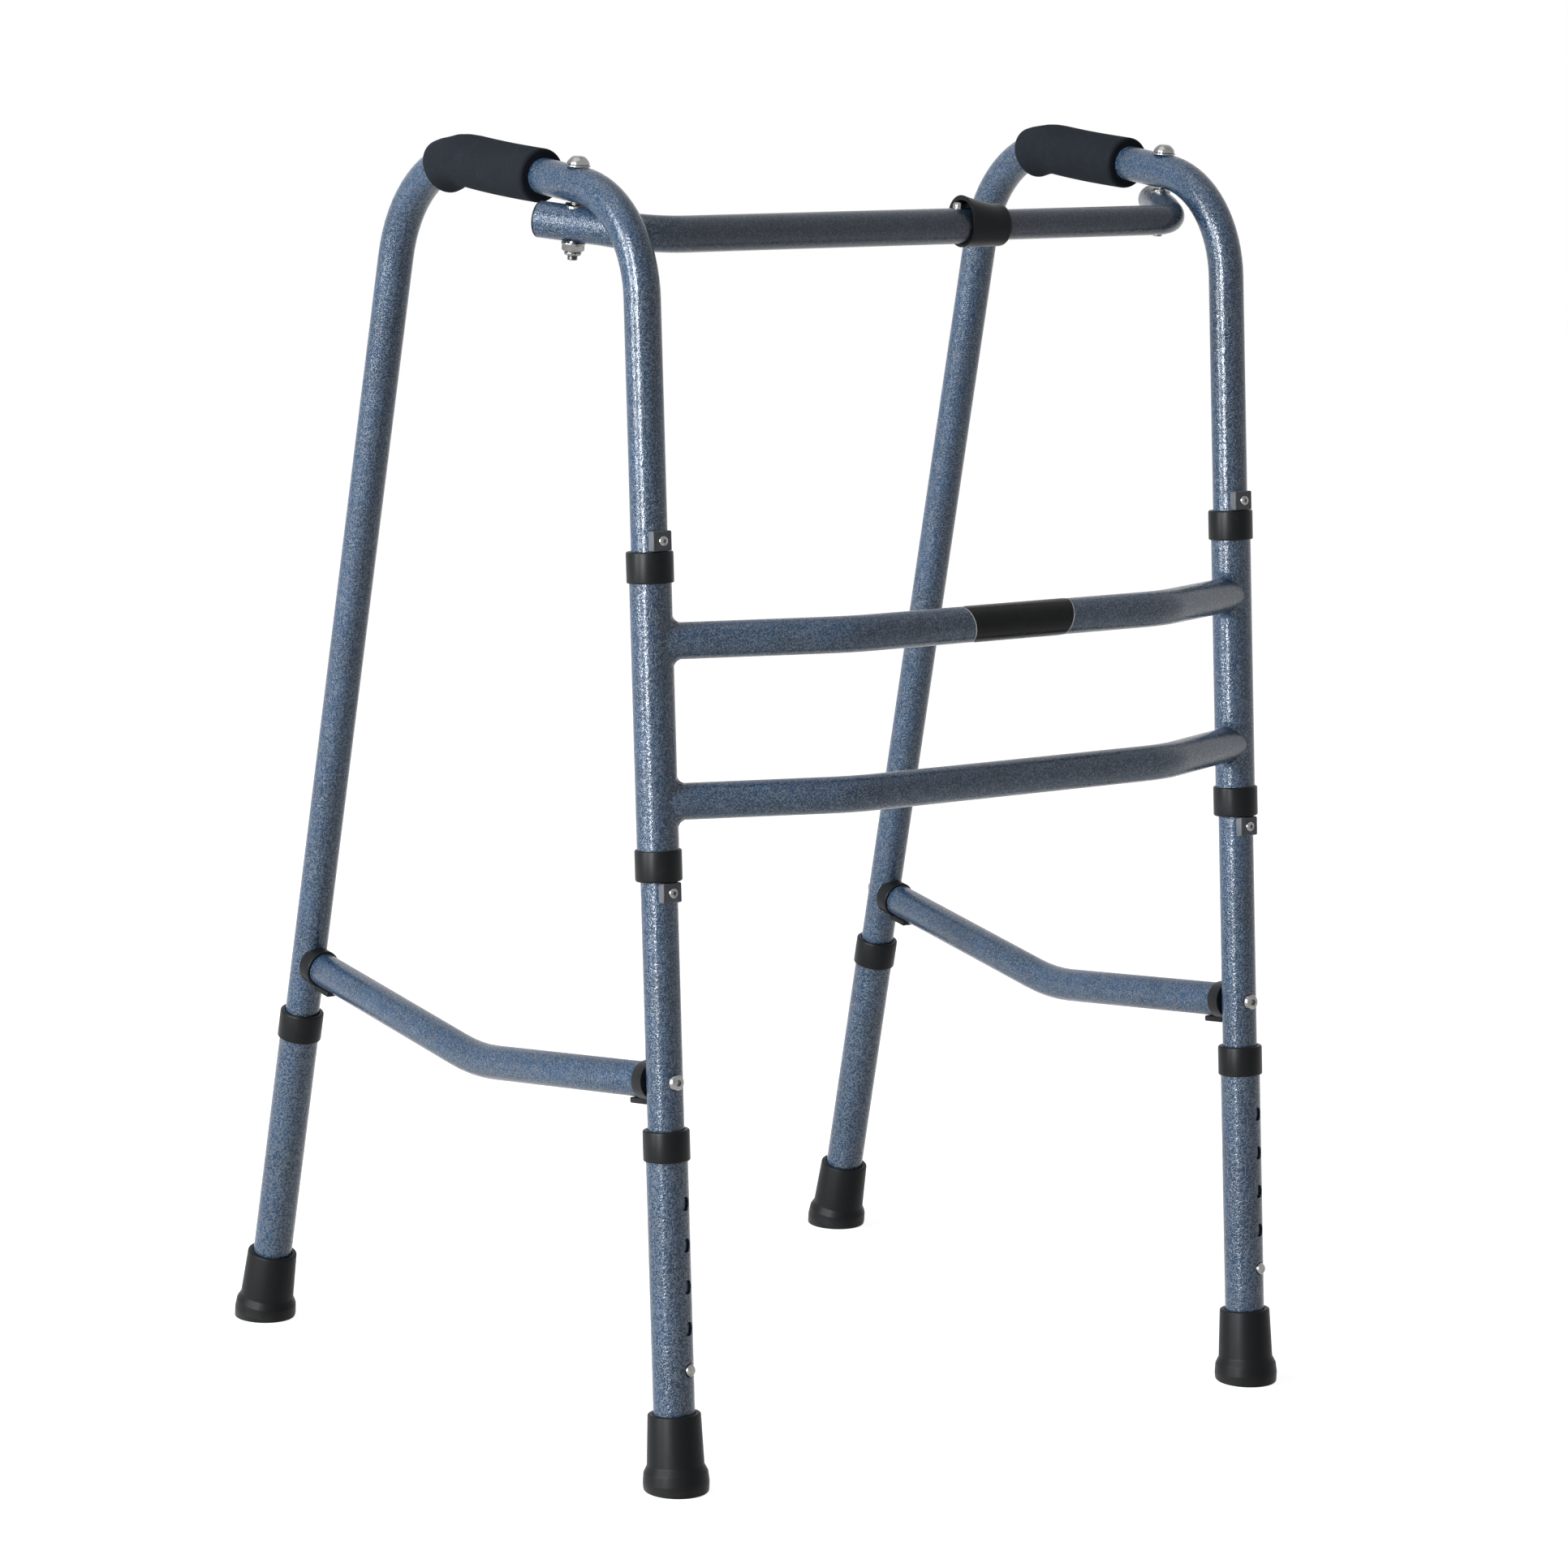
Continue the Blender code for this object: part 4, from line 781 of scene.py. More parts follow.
def slate_foam(finish):
    """Closed-cell foam: a soft skin of tiny cells, their hollows sunk by bump and painted darker as shade.
    """
    cells = finish.value("TexVoronoi", {"feature": "F1"}, {"Vector": finish.place, "Scale": 1150.0})
    mottle = finish.eased(finish.noise(75.0, detail=4.0, roughness=0.6), 0.35, 0.70)
    pore_depth_and_shade = finish.eased(cells, 0.15, 0.55)
    skin = finish.mixed(mottle, tone("foam", 0.86), tone("foam", 1.16))
    # Painted shade: the base colour goes darker in each pore's hollow.
    finish.give(Base_Color=finish.mixed(pore_depth_and_shade, tone("foam", 0.70), skin),
                Roughness=0.82 + mottle * 0.10, Specular_IOR_Level=0.06)
    finish.bump(pore_depth_and_shade + mottle * 0.6, 0.45, 0.00018)


def bright_zinc(finish):
    """Bright zinc plate with faint turning marks and a little tarnish."""
    marks = finish.noise(2600.0)
    haze = finish.eased(finish.noise(240.0, detail=4.0, roughness=0.65), 0.40, 0.75)
    finish.give(Base_Color=finish.mixed(haze, tone("zinc"), tone("zinc", 0.55)),
                Roughness=0.15 + haze * 0.20 + (marks - 0.5) * 0.10, Metallic=1.0)
    finish.bump(marks, 0.20, 0.00004)


def label_face(finish):
    """Black film of the blank label, a little smudged."""
    smudge = finish.eased(finish.noise(120.0, detail=4.0, roughness=0.6), 0.45, 0.75)
    finish.give(Base_Color=finish.mixed(smudge, tone("label"), tone("label", 1.8)),
                Roughness=0.24 + smudge * 0.14, Specular_IOR_Level=0.12)


def label_edge(finish):
    """Silver border of the blank label."""
    haze = finish.noise(300.0, detail=3.0, roughness=0.6)
    finish.give(Base_Color=finish.mixed(haze, (0.30, 0.31, 0.33), (0.48, 0.49, 0.51)),
                Roughness=0.30 + haze * 0.15, Metallic=0.6)


FINISHES = {finish.__name__: finish for finish in (
    veined_blue_paint, spotted_silver_paint, slate_blue_paint, black_plastic, grey_plastic, black_rubber,
    slate_foam, bright_zinc, label_face, label_edge)}


def material_for(name):
    """The material of a finish, made the first time that it is asked for."""
    made = bpy.data.materials.get("finish_" + name)
    if made is None:
        finish = Finish("finish_" + name)
        FINISHES[name](finish)
        made = finish.material
    return made


# Front frame

def make_collar(node, place, body):
    """A collar on a sleeve's end, its face at nought and its skirt below."""
    skirt = SLEEVE_RADIUS + SEAT_GAP
    lip = LEG_RADIUS + SLIDE_CLEARANCE
    rounding = sizes().edge_round
    outline = [(COLLAR_RADIUS, 0.0, rounding * 1.4), (COLLAR_RADIUS, -COLLAR_HEIGHT, rounding),
               (skirt, -COLLAR_HEIGHT), (skirt, -COLLAR_LIP), (lip, -COLLAR_LIP), (lip, 0.0, rounding * 0.5)]
    stand_in(node, turned(outline, True, sizes().tube_sides), place, body, "black_plastic")


def make_sleeves():
    """Upright sleeves with a collar at each end."""
    for label, sign in SIDES:
        axes = leg_axis_matrix(sign)
        line = [UP * (LOWER_COLLAR_BOTTOM + COLLAR_LIP), UP * (UPPER_COLLAR_TOP - COLLAR_LIP)]
        stand_in("hinge_sleeve_" + label, tube(line, (), SLEEVE_RADIUS), axes, "front_frame",
                 "veined_blue_paint")
        make_collar("upper_collar_" + label, axes @ Matrix.Translation(UP * UPPER_COLLAR_TOP), "front_frame")
        foot = axes @ Matrix.Translation(UP * LOWER_COLLAR_BOTTOM) @ Matrix.Rotation(math.pi, 4, "X")
        make_collar("lower_collar_" + label, foot, "front_frame")


def sleeve_way():
    """The direction up a sleeve."""
    return (leg_axis_matrix(1).to_3x3() @ UP).normalized()


def crossbar_line(up):
    """Joints and kinks of a crossbar, from left to right."""
    joints = [leg_axis_matrix(sign) @ (UP * up) for _, sign in SIDES]
    kinks = [joint + Vector((-sign * CROSSBAR_END_RUN, -CROSSBAR_BOW, CROSSBAR_RISE))
             for joint, (_, sign) in zip(joints, SIDES)]
    return joints, kinks


def weld_frame(way):
    """Level and upright directions across a crossbar's end."""
    level = way.cross(sleeve_way()).normalized()
    return level, level.cross(way).normalized()


def on_sleeve(joint, way, angle, out):
    """Where a line along a crossbar, some way out from its axis, meets the sleeve."""
    upward = sleeve_way()
    level, upright = weld_frame(way)
    flat_way = way - upward * way.dot(upward)
    size = flat_way.dot(flat_way)
    offset = (level * math.cos(angle) + upright * math.sin(angle)) * out
    across = offset - upward * offset.dot(upward)
    half = across.dot(flat_way)
    rest = across.dot(across) - SLEEVE_RADIUS ** 2
    distance = (-half + math.sqrt(half * half - size * rest)) / size
    return joint + offset + way * distance


def weld_section(joint, way, angle):
    """Points of a weld fillet's section: root, edge on the sleeve, rippled face, edge on the bar."""
    level, upright = weld_frame(way)
    normal = level * math.cos(angle) + upright * math.sin(angle)
    reach = WELD_SIDE + (sizes().weld_radius * WELD_REACH - WELD_SIDE) * math.sin(angle) ** 2
    ripple = sizes().weld_ripple * math.sin(WELD_RIPPLES * angle)
    corner = on_sleeve(joint, way, angle, CROSSBAR_RADIUS)
    foot = on_sleeve(joint, way, angle, CROSSBAR_RADIUS + reach)
    toe = corner + way * (reach + ripple)
    face = (normal + way).normalized() * ripple
    root = corner - (normal + way) * WELD_SINK
    near, far = WELD_BULGE
    low = corner.lerp(foot, near).lerp(toe, far) + face
    high = corner.lerp(toe, near).lerp(foot, far) + face
    return root, foot - way * WELD_SINK, foot, low, high, toe, toe - normal * WELD_SINK


def weld_shape(joint, way):
    """The fillet of a weld all round a crossbar's end."""
    sections = [weld_section(joint, way, math.tau * step / WELD_STEPS) for step in range(WELD_STEPS)]
    shape = bmesh.new()
    rings = []
    for points in zip(*sections):
        verts = [shape.verts.new(point) for point in points]
        rings.append([shape.edges.new(pair) for pair in zip(verts, verts[1:] + verts[:1])])
    for ring, after in zip(rings, rings[1:] + rings[:1]):
        bmesh.ops.bridge_loops(shape, edges=ring + after)
    bmesh.ops.recalc_face_normals(shape, faces=shape.faces)
    return shape


def make_crossbar(level, up):
    """A bowed crossbar, coped to the sleeves and welded to them."""
    joints, kinks = crossbar_line(up)
    shape = tube([joints[0], *kinks, joints[1]], (CROSSBAR_BEND, CROSSBAR_BEND), CROSSBAR_RADIUS)
    reach = sleeve_way() * 3 * SLEEVE_RADIUS
    room = [rod_about(joint, reach, SLEEVE_RADIUS - SEAT_GAP) for joint in joints]
    stand_in(level + "_crossbar", combined(shape, room), None, "front_frame", "veined_blue_paint")
    for (label, _), joint, kink in zip(SIDES, joints, kinks):
        piece("weld_bead_{}_{}".format(level, label), weld_shape(joint, (kink - joint).normalized()), None,
              "front_frame", "veined_blue_paint")


def label_sheet(length, width, corner, lift, axes):
    """A thin sheet with rounded corners and slanted ends, bent round the crossbar."""
    shape = bmesh.new()
    radius = CROSSBAR_RADIUS + lift
    ends = [(LABEL_SLANT - length / 2, -width / 2), (length / 2 - LABEL_SLANT, -width / 2),
            (length / 2, width / 2), (-length / 2, width / 2)]
    verts = [shape.verts.new((along, over, 0.0)) for along, over in ends]
    shape.faces.new(verts)
    bmesh.ops.bevel(shape, geom=verts, offset=corner, offset_type="OFFSET", affect="VERTICES",
                    segments=8, profile=0.5, material=-1, clamp_overlap=True)
    add_rings(shape, ORIGIN, -FORWARD, width / 2, radius * ARC_STEP)
    for vert in shape.verts:
        angle = vert.co.y / radius
        vert.co = Vector((vert.co.x, radius * math.sin(angle), radius * math.cos(angle)))
    bmesh.ops.recalc_face_normals(shape, faces=shape.faces)
    if sum(face.normal.z for face in shape.faces) < 0:
        bmesh.ops.reverse_faces(shape, faces=shape.faces)
    bmesh.ops.solidify(shape, geom=list(shape.faces), thickness=LABEL_THICKNESS)
    return moved(shape, axes)


def make_label():
    """The blank label on the upper crossbar: a black film in a silver border."""
    _, kinks = crossbar_line(UPPER_CROSSBAR_UP)
    middle = (kinks[0] + kinks[1]) / 2 + ACROSS * LABEL_SHIFT
    axes = Matrix.Translation(middle) @ Matrix.Rotation(math.pi / 2 - LABEL_TILT, 4, "X")
    length = sizes().label_length
    width = LABEL_SPAN * CROSSBAR_RADIUS
    corner = sizes().label_corner
    border = label_sheet(length, width, corner, LABEL_THICKNESS, axes)
    film = label_sheet(length - 2 * LABEL_BORDER, width - 2 * LABEL_BORDER, corner - LABEL_BORDER,
                       2 * LABEL_THICKNESS, axes)
    piece("label_border", border, None, "front_frame", "bright_zinc", "label_edge")
    piece("label_film", film, None, "front_frame", "black_plastic", "label_face")


# Side frames

def flatten(shape, centre, way, normal, radius, depth):
    """Press one side of a tube flat round a bolt."""
    half = sizes().dent_reach
    for vert in shape.verts:
        offset = vert.co - centre
        along = abs(offset.dot(way)) / half
        if along > 1.0 or offset.length > 2 * half:
            continue
        share = math.cos(along * math.pi / 2) ** 2
        over = offset.dot(normal) - (radius - depth * share)
        if over > 0:
            vert.co -= normal * over * DENT_FIRMNESS


def make_side_tubes():
    """Front leg, handle and rear leg of each side, in one bent tube."""
    tail = BUTTON_UP - LEG_TUBE_TAIL
    corners = [UP * tail, FRONT_CORNER, REAR_CORNER, REAR_FOOT + REAR_DIRECTION * tail]
    for label, sign in SIDES:
        shape = bent_skin(corners, (FRONT_BEND, REAR_BEND), LEG_RADIUS)
        add_rings(shape, BOLT_POINT, HANDLE_DIRECTION, sizes().dent_reach, DENT_PITCH)
        for normal in (HANDLE_NORMAL, -HANDLE_NORMAL):
            flatten(shape, BOLT_POINT, HANDLE_DIRECTION, normal, LEG_RADIUS, sizes().dent_depth)
        give_wall(shape, TUBE_WALL)
        stand_in("side_frame_" + label, shape, side_matrix(sign), "side_" + label, "veined_blue_paint")


# Grips

def grip_route():
    """Start, straight length, the bend's whole turn and the way inward of a grip's line."""
    start = FRONT_CORNER + HANDLE_DIRECTION * GRIP_START
    turn = HANDLE_DIRECTION.angle(-REAR_DIRECTION)
    straight = (REAR_CORNER - start).length - REAR_BEND * math.tan(turn / 2)
    inward = (-REAR_DIRECTION + HANDLE_DIRECTION * REAR_DIRECTION.dot(HANDLE_DIRECTION)).normalized()
    return start, straight, turn, inward


def grip_line(place):
    """How far along a grip's line a point lies, and the line's point there."""
    start, straight, _, inward = grip_route()
    along = (place - start).dot(HANDLE_DIRECTION)
    if along <= straight:
        return along, start + HANDLE_DIRECTION * along
    centre = start + HANDLE_DIRECTION * straight + inward * REAR_BEND
    offset = place - centre
    offset.x = 0.0
    angle = math.atan2(offset.dot(HANDLE_DIRECTION), -offset.dot(inward))
    return straight + angle * REAR_BEND, centre + offset.normalized() * REAR_BEND


def hump(share, peak, width):
    """How strongly a place along a grip takes part in a bulge or dip."""
    return math.exp(-((share - peak) / width) ** 2)


def grip_shape(turn_share, swell):
    """Foam sleeve: rounded ends, a bulge where the bend squeezes it, and a soft sag."""
    start, straight, whole_turn, inward = grip_route()
    turn = whole_turn * turn_share
    pen = TubePen(start, HANDLE_DIRECTION, GRIP_RADIUS)
    pen.run(straight, math.ceil(straight / GRIP_STEP))
    pen.bend(REAR_BEND, turn, inward)
    shape = give_wall(pen.shape, GRIP_RADIUS - LEG_RADIUS - SEAT_GAP / 3)
    length = straight + turn * REAR_BEND
    rims = sharp_edges(shape, lambda place: (place - grip_line(place)[1]).length > GRIP_RADIUS * 0.97)
    round_edges(shape, rims, sizes().foam_round, 5)
    for vert in shape.verts:
        along, centre = grip_line(vert.co)
        out = vert.co - centre
        firm = (out.length - LEG_RADIUS) / (GRIP_RADIUS - LEG_RADIUS)
        if firm < 0.1:
            continue
        share = along / length
        away = out.normalized()
        under = away.dot(inward)
        over = max(0.0, -under)
        bulge = hump(share, GRIP_BULGE_AT, 0.07) - 0.7 * hump(share, GRIP_WAIST_AT, 0.08)
        dip = 0.6 * hump(share, GRIP_DIP_AT, 0.05)
        around = GRIP_CREASES * math.atan2(away.x, under)
        crease = 0.10 * math.cos(around + 0.8) * math.sin(math.pi * share)
        vert.co += away * swell * (bulge * max(0.0, under) - dip * over + crease) * firm
        vert.co += inward * sizes().foam_sag * math.sin(math.pi / 2 * min(1.0, share / 0.6)) * firm
    return shape


def make_grips():
    """Foam grips on the handles."""
    for label, sign in SIDES:
        shape = grip_shape(GRIP_TURN_SHARE[label], sizes().foam_swell * GRIP_SWELL_SHARE[label])
        obj = stand_in("grip_" + label, shape, side_matrix(sign), "side_" + label, "slate_foam")


# Stops

def stop_heights():
    """Middle heights of the lower and the upper stop bracket."""
    half = STOP_HEIGHT / 2 + SEAT_GAP
    return (("lower", LOWER_COLLAR_BOTTOM - half), ("upper", UPPER_COLLAR_TOP + half))


def stop_shape(up):
    """Bracket saddled on the leg."""
    face = LEG_RADIUS + STOP_PROUD
    shape = block(Vector((-STOP_WIDTH / 2, -face, up - STOP_HEIGHT / 2)),
                  Vector((STOP_WIDTH / 2, STOP_DEPTH - face, up + STOP_HEIGHT / 2)))
    round_edges(shape, shape.edges[:], sizes().edge_round)
    return combined(shape, [rod_about(UP * up, UP * STOP_HEIGHT, LEG_RADIUS + SEAT_GAP / 3)])


def stop_screw_shape():
    """Pan-head screw with a cross recess, its head's seat at nought."""
    tip = -STOP_PROUD - STOP_SCREW_BITE
    shape = turned([(0.0, STOP_SCREW_HEIGHT), (STOP_SCREW_HEAD, STOP_SCREW_HEIGHT, STOP_SCREW_ROUND),
                    (STOP_SCREW_HEAD, 0.0), (STOP_SCREW_RADIUS, 0.0), (STOP_SCREW_RADIUS, tip), (0.0, tip)])
    arm = Vector((RECESS_LENGTH / 2, RECESS_WIDTH / 2, RECESS_DEPTH))
    slots = []
    for turn in (0.0, math.pi / 2):
        slot = block(UP * STOP_SCREW_HEIGHT - arm, UP * STOP_SCREW_HEIGHT + arm)
        for vert in slot.verts:
            if vert.co.z < STOP_SCREW_HEIGHT:
                vert.co.x *= RECESS_TAPER
        slots.append(moved(slot, Matrix.Rotation(turn, 4, "Z")))
    return combined(shape, slots)


def make_stops():
    """Stop brackets and their screws."""
    for label, sign in SIDES:
        axes = side_matrix(sign)
        body = "side_" + label
        for level, up in stop_heights():
            outward = axes_along(UP * up + FORWARD * (LEG_RADIUS + STOP_PROUD), FORWARD)
            seat = axes @ outward @ Matrix.Rotation(STOP_SCREW_TURN, 4, "Z")
            stand_in("{}_stop_{}".format(level, label), stop_shape(up), axes, body, "grey_plastic")
            stand_in("{}_stop_screw_{}".format(level, label), stop_screw_shape(), seat, body, "bright_zinc")


# Braces

def brace_ends():
    """Each end's name, its point on the leg, its way into the brace and the leg's way."""
    return (("front", BRACE_FRONT, (BRACE_MIDDLE - BRACE_FRONT).normalized(), UP),
            ("rear", BRACE_REAR, (BRACE_MIDDLE - BRACE_REAR).normalized(), REAR_DIRECTION))


def brace_shape():
    """Drooping rail, closed at its ends."""
    face = LEG_RADIUS + SADDLE_THICKNESS
    (_, front, front_way, _), (_, rear, rear_way, _) = brace_ends()
    shape = bent_skin([front + front_way * face, BRACE_MIDDLE, rear + rear_way * face], (BRACE_BEND,),
                      BRACE_RADIUS)
    bmesh.ops.holes_fill(shape, edges=shape.edges)
    bmesh.ops.recalc_face_normals(shape, faces=shape.faces)
    return round_edges(shape, sharp_edges(shape), sizes().edge_round * 0.8, 2)


def saddle_shape(start, toward, leg_way):
    """Saddle washer with the tongue that lies under the brace's end, hollowed to the leg."""
    outer = LEG_RADIUS + SADDLE_THICKNESS
    rounding = sizes().edge_round
    washer = turned([(0.0, outer), (SADDLE_RADIUS, outer, rounding), (SADDLE_RADIUS, SADDLE_START),
                     (0.0, SADDLE_START)], sides=sizes().tube_sides)
    under = (PLANE_DOWN - toward * PLANE_DOWN.dot(toward)).normalized()
    top = BRACE_RADIUS + SEAT_GAP / 2
    begin = LEG_RADIUS + SADDLE_THICKNESS / 2
    end = outer + TONGUE_LENGTH
    tongue = block(Vector((-TONGUE_WIDTH / 2, top, begin)),
                   Vector((TONGUE_WIDTH / 2, top + TONGUE_THICKNESS, end)))
    round_edges(tongue, tongue.edges[:], rounding * 0.9)
    moved(tongue, axes_of(start, under.cross(toward), under, toward))
    joined = combined(moved(washer, axes_along(start, toward)), [tongue], "UNION")
    return combined(joined, [rod_about(start, leg_way * 2 * SADDLE_RADIUS, LEG_RADIUS + SEAT_GAP / 3)])


def brace_bolt_shape():
    """Button head with a hex socket, its seat at nought and its shank along Z."""
    crown = -(BRACE_BOLT_RIM + BRACE_BOLT_DOME)
    tip = 2 * LEG_RADIUS + SADDLE_THICKNESS + BRACE_BOLT_BITE
    shape = turned([(0.0, tip), (BRACE_BOLT_RADIUS, tip, SHANK_ROUND), (BRACE_BOLT_RADIUS, 0.0),
                    (BRACE_BOLT_HEAD, 0.0, BRACE_BOLT_EDGE), (BRACE_BOLT_HEAD, -BRACE_BOLT_RIM),
                    (BRACE_BOLT_HEAD * 0.80, crown * 0.92, BRACE_BOLT_ROUND), (0.0, crown)])
    socket = rod(UP * (crown - SOCKET_DEPTH), UP * (crown + SOCKET_DEPTH), SOCKET_RADIUS, 6)
    return combined(shape, [socket])


def make_braces():
    """Side rails with their saddles and bolts."""
    for label, sign in SIDES:
        axes = side_matrix(sign)
        body = "side_" + label
        stand_in("side_brace_" + label, brace_shape(), axes, body, "veined_blue_paint")
        for end, start, toward, leg_way in brace_ends():
            corner = "{}_{}".format(end, label)
            stand_in("brace_saddle_" + corner, saddle_shape(start, toward, leg_way), axes, body,
                     "black_plastic")
            seat = axes @ axes_along(start - toward * LEG_RADIUS, toward)
            stand_in("brace_bolt_" + corner, brace_bolt_shape(), seat, body, "bright_zinc")


# Legs and feet

def button_direction(end):
    """Which way a leg's snap button points, across its leg."""
    if end == "front":
        return ACROSS * math.sin(BUTTON_TURN) + FORWARD * math.cos(BUTTON_TURN)
    return -FORWARD


def extension_shape(way):
    """Outer tube of the leg, with its row of adjusting holes."""
    shape = bent_skin([UP * EXTENSION_BOTTOM, UP * (LEG_COLLAR_TOP - COLLAR_LIP)], (), SLEEVE_RADIUS)
    hole = BUTTON_RADIUS + HOLE_CLEARANCE
    centres = [UP * (BUTTON_UP + number * HOLE_PITCH) for number in range(HOLE_COUNT)]
    for centre in centres:
        add_rings(shape, centre, UP, hole * HOLE_MARGIN, hole / HOLE_RINGS)
    give_wall(shape, TUBE_WALL)
    cutters = [rod(centre + way * SLEEVE_RADIUS / 2, centre + way * SLEEVE_RADIUS * 1.5, hole)
               for centre in centres]
    shape = combined(shape, cutters)
    rims = sharp_edges(shape, lambda place: place.to_2d().length > SLEEVE_RADIUS - TUBE_WALL / 2
                       and BUTTON_UP - HOLE_PITCH / 2 < place.z < LEG_COLLAR_TOP - HOLE_PITCH / 2,
                       HOLE_EDGE_ANGLE)
    return round_edges(shape, rims, HOLE_ROUND)


def clip_shape(bore, radius, top):
    """Leaf spring inside a tube, its button pointing along X."""
    reach = math.sqrt(bore * bore - CLIP_LEAF_WIDTH * CLIP_LEAF_WIDTH / 4)
    reach -= CLIP_WALL_GAP + CLIP_LEAF_THICKNESS / 2
    outer = ACROSS * reach
    crest = ACROSS * CLIP_TOP_HALF + UP * CLIP_TOP_UP
    mirror = Vector((-1.0, 1.0, 1.0))
    leg = [(outer - UP * CLIP_LEG_BELOW, 0.0), (outer + UP * CLIP_LEG_ABOVE, CLIP_LEG_BEND),
           (crest, CLIP_TOP_BEND)]
    line = leg + [(corner * mirror, bend) for corner, bend in reversed(leg)]
    shape = bmesh.new()
    verts = [shape.verts.new(point) for point in rounded_line(line)]
    bmesh.ops.translate(shape, verts=verts, vec=FORWARD * (CLIP_LEAF_WIDTH / 2))
    edges = [shape.edges.new(pair) for pair in zip(verts, verts[1:])]
    grown = bmesh.ops.extrude_edge_only(shape, edges=edges)["geom"]
    fresh = [item for item in grown if isinstance(item, bmesh.types.BMVert)]
    bmesh.ops.translate(shape, verts=fresh, vec=FORWARD * -CLIP_LEAF_WIDTH)
    bmesh.ops.recalc_face_normals(shape, faces=shape.faces)
    bmesh.ops.solidify(shape, geom=list(shape.faces), thickness=CLIP_LEAF_THICKNESS)
    foot = reach - CLIP_LEAF_THICKNESS
    soft = radius * 0.3
    button = turned([(0.0, top), (radius * 0.62, top, soft), (radius, top - radius * 0.45, soft),
                     (radius, foot), (0.0, foot)])
    return combined(shape, [moved(button, Matrix.Rotation(math.pi / 2, 4, "Y"))], "UNION")


def tip_shape(lift):
    """Flared rubber foot about its leg, its sole cut flat; lift places it in the world."""
    bore = SLEEVE_RADIUS + SEAT_GAP
    seat = EXTENSION_BOTTOM - SEAT_GAP
    rounding = sizes().edge_round
    outline = [(0.0, seat), (bore, seat), (bore, TIP_TOP, rounding * 0.6),
               (TIP_NECK_RADIUS, TIP_TOP, rounding * 1.3),
               (TIP_WAIST_RADIUS, TIP_WAIST_UP, TIP_WAIST_ROUND),
               (TIP_SHOULDER_RADIUS, TIP_SHOULDER_UP, TIP_SHOULDER_ROUND),
               (TIP_FLARE_RADIUS, TIP_FLARE_UP, TIP_FLARE_ROUND),
               (TIP_STOCK_RADIUS, -TIP_STOCK_BELOW), (0.0, -TIP_STOCK_BELOW)]
    shape = moved(turned(outline, sides=sizes().tube_sides), lift)
    everything = shape.verts[:] + shape.edges[:] + shape.faces[:]
    bmesh.ops.bisect_plane(shape, geom=everything, dist=MERGE_DISTANCE, plane_co=ORIGIN, plane_no=UP,
                           clear_inner=True)
    bmesh.ops.remove_doubles(shape, verts=shape.verts, dist=SOLE_TOLERANCE)
    rim = [edge for edge in shape.edges if edge.is_boundary]
    sole = bmesh.ops.contextual_create(shape, geom=rim)["faces"]
    bmesh.ops.recalc_face_normals(shape, faces=shape.faces)
    for inset, depth in TREAD_STEPS:
        bmesh.ops.inset_region(shape, faces=sole, thickness=inset, depth=depth)
    foot = lift.translation.to_2d()
    rims = sharp_edges(shape, lambda place: place.z < SOLE_TOLERANCE
                       and (place.to_2d() - foot).length > TIP_WAIST_RADIUS)
    return round_edges(shape, rims, SOLE_ROUND)


def make_legs():
    """Extensions, collars, snap clips and rubber feet of the four legs."""
    clip_top = SLEEVE_RADIUS + BUTTON_PROUD
    for label, sign in SIDES:
        for end, inner in (("front", Matrix()), ("rear", rear_matrix())):
            axes = side_matrix(sign) @ inner
            corner = "{}_{}".format(end, label)
            body = "extension_" + corner
            way = button_direction(end)
            stand_in("leg_extension_" + corner, extension_shape(way), axes, body, "spotted_silver_paint")
            make_collar("leg_collar_" + corner, axes @ Matrix.Translation(UP * LEG_COLLAR_TOP), body)
            stand_in("rubber_tip_" + corner, tip_shape(axes), None, body, "black_rubber")
            turn = Matrix.Rotation(math.atan2(way.y, way.x), 4, "Z")
            stand_in("snap_clip_" + corner, clip_shape(LEG_RADIUS - TUBE_WALL, BUTTON_RADIUS, clip_top),
                     axes @ Matrix.Translation(UP * BUTTON_UP) @ turn, "button_" + corner, "bright_zinc")


# Pivots of the top bar

def bolt_head_shape():
    """Flanged dome head with its upper shank, the flange's seat at nought."""
    foot = -2 * LEG_RADIUS
    crown = BOLT_HEAD_HEIGHT + BOLT_CROWN
    return turned([(0.0, crown), (BOLT_HEAD_RADIUS * 0.55, crown, BOLT_CROWN_ROUND),
                   (BOLT_HEAD_RADIUS, BOLT_FLANGE * 2.6, BOLT_SIDE_ROUND),
                   (BOLT_HEAD_RADIUS, BOLT_FLANGE * 1.35, FLANGE_EDGE),
                   (BOLT_HEAD_RADIUS - BOLT_SEAM, BOLT_FLANGE),
                   (BOLT_FLANGE_RADIUS, BOLT_FLANGE, FLANGE_ROUND), (BOLT_FLANGE_RADIUS, 0.0, FLANGE_EDGE),
                   (BOLT_RADIUS, 0.0), (BOLT_RADIUS, foot, FLANGE_ROUND), (0.0, foot)])


def washer_shape(tube_radius, local, tube_way):
    """Washer curved to the bar that it lies on."""
    bore = BOLT_RADIUS + SEAT_GAP
    high = 2 * tube_radius
    stock = turned([(WASHER_RADIUS, high), (WASHER_RADIUS, 0.0), (bore, 0.0), (bore, high)], True)
    middle = local.translation
    reach = tube_way * 2 * WASHER_RADIUS
    over = rod_about(middle, reach, tube_radius + SEAT_GAP + WASHER_THICKNESS)
    under = rod_about(middle, reach, tube_radius + SEAT_GAP / 3)
    return combined(combined(moved(stock, local), [over], "INTERSECT"), [under])


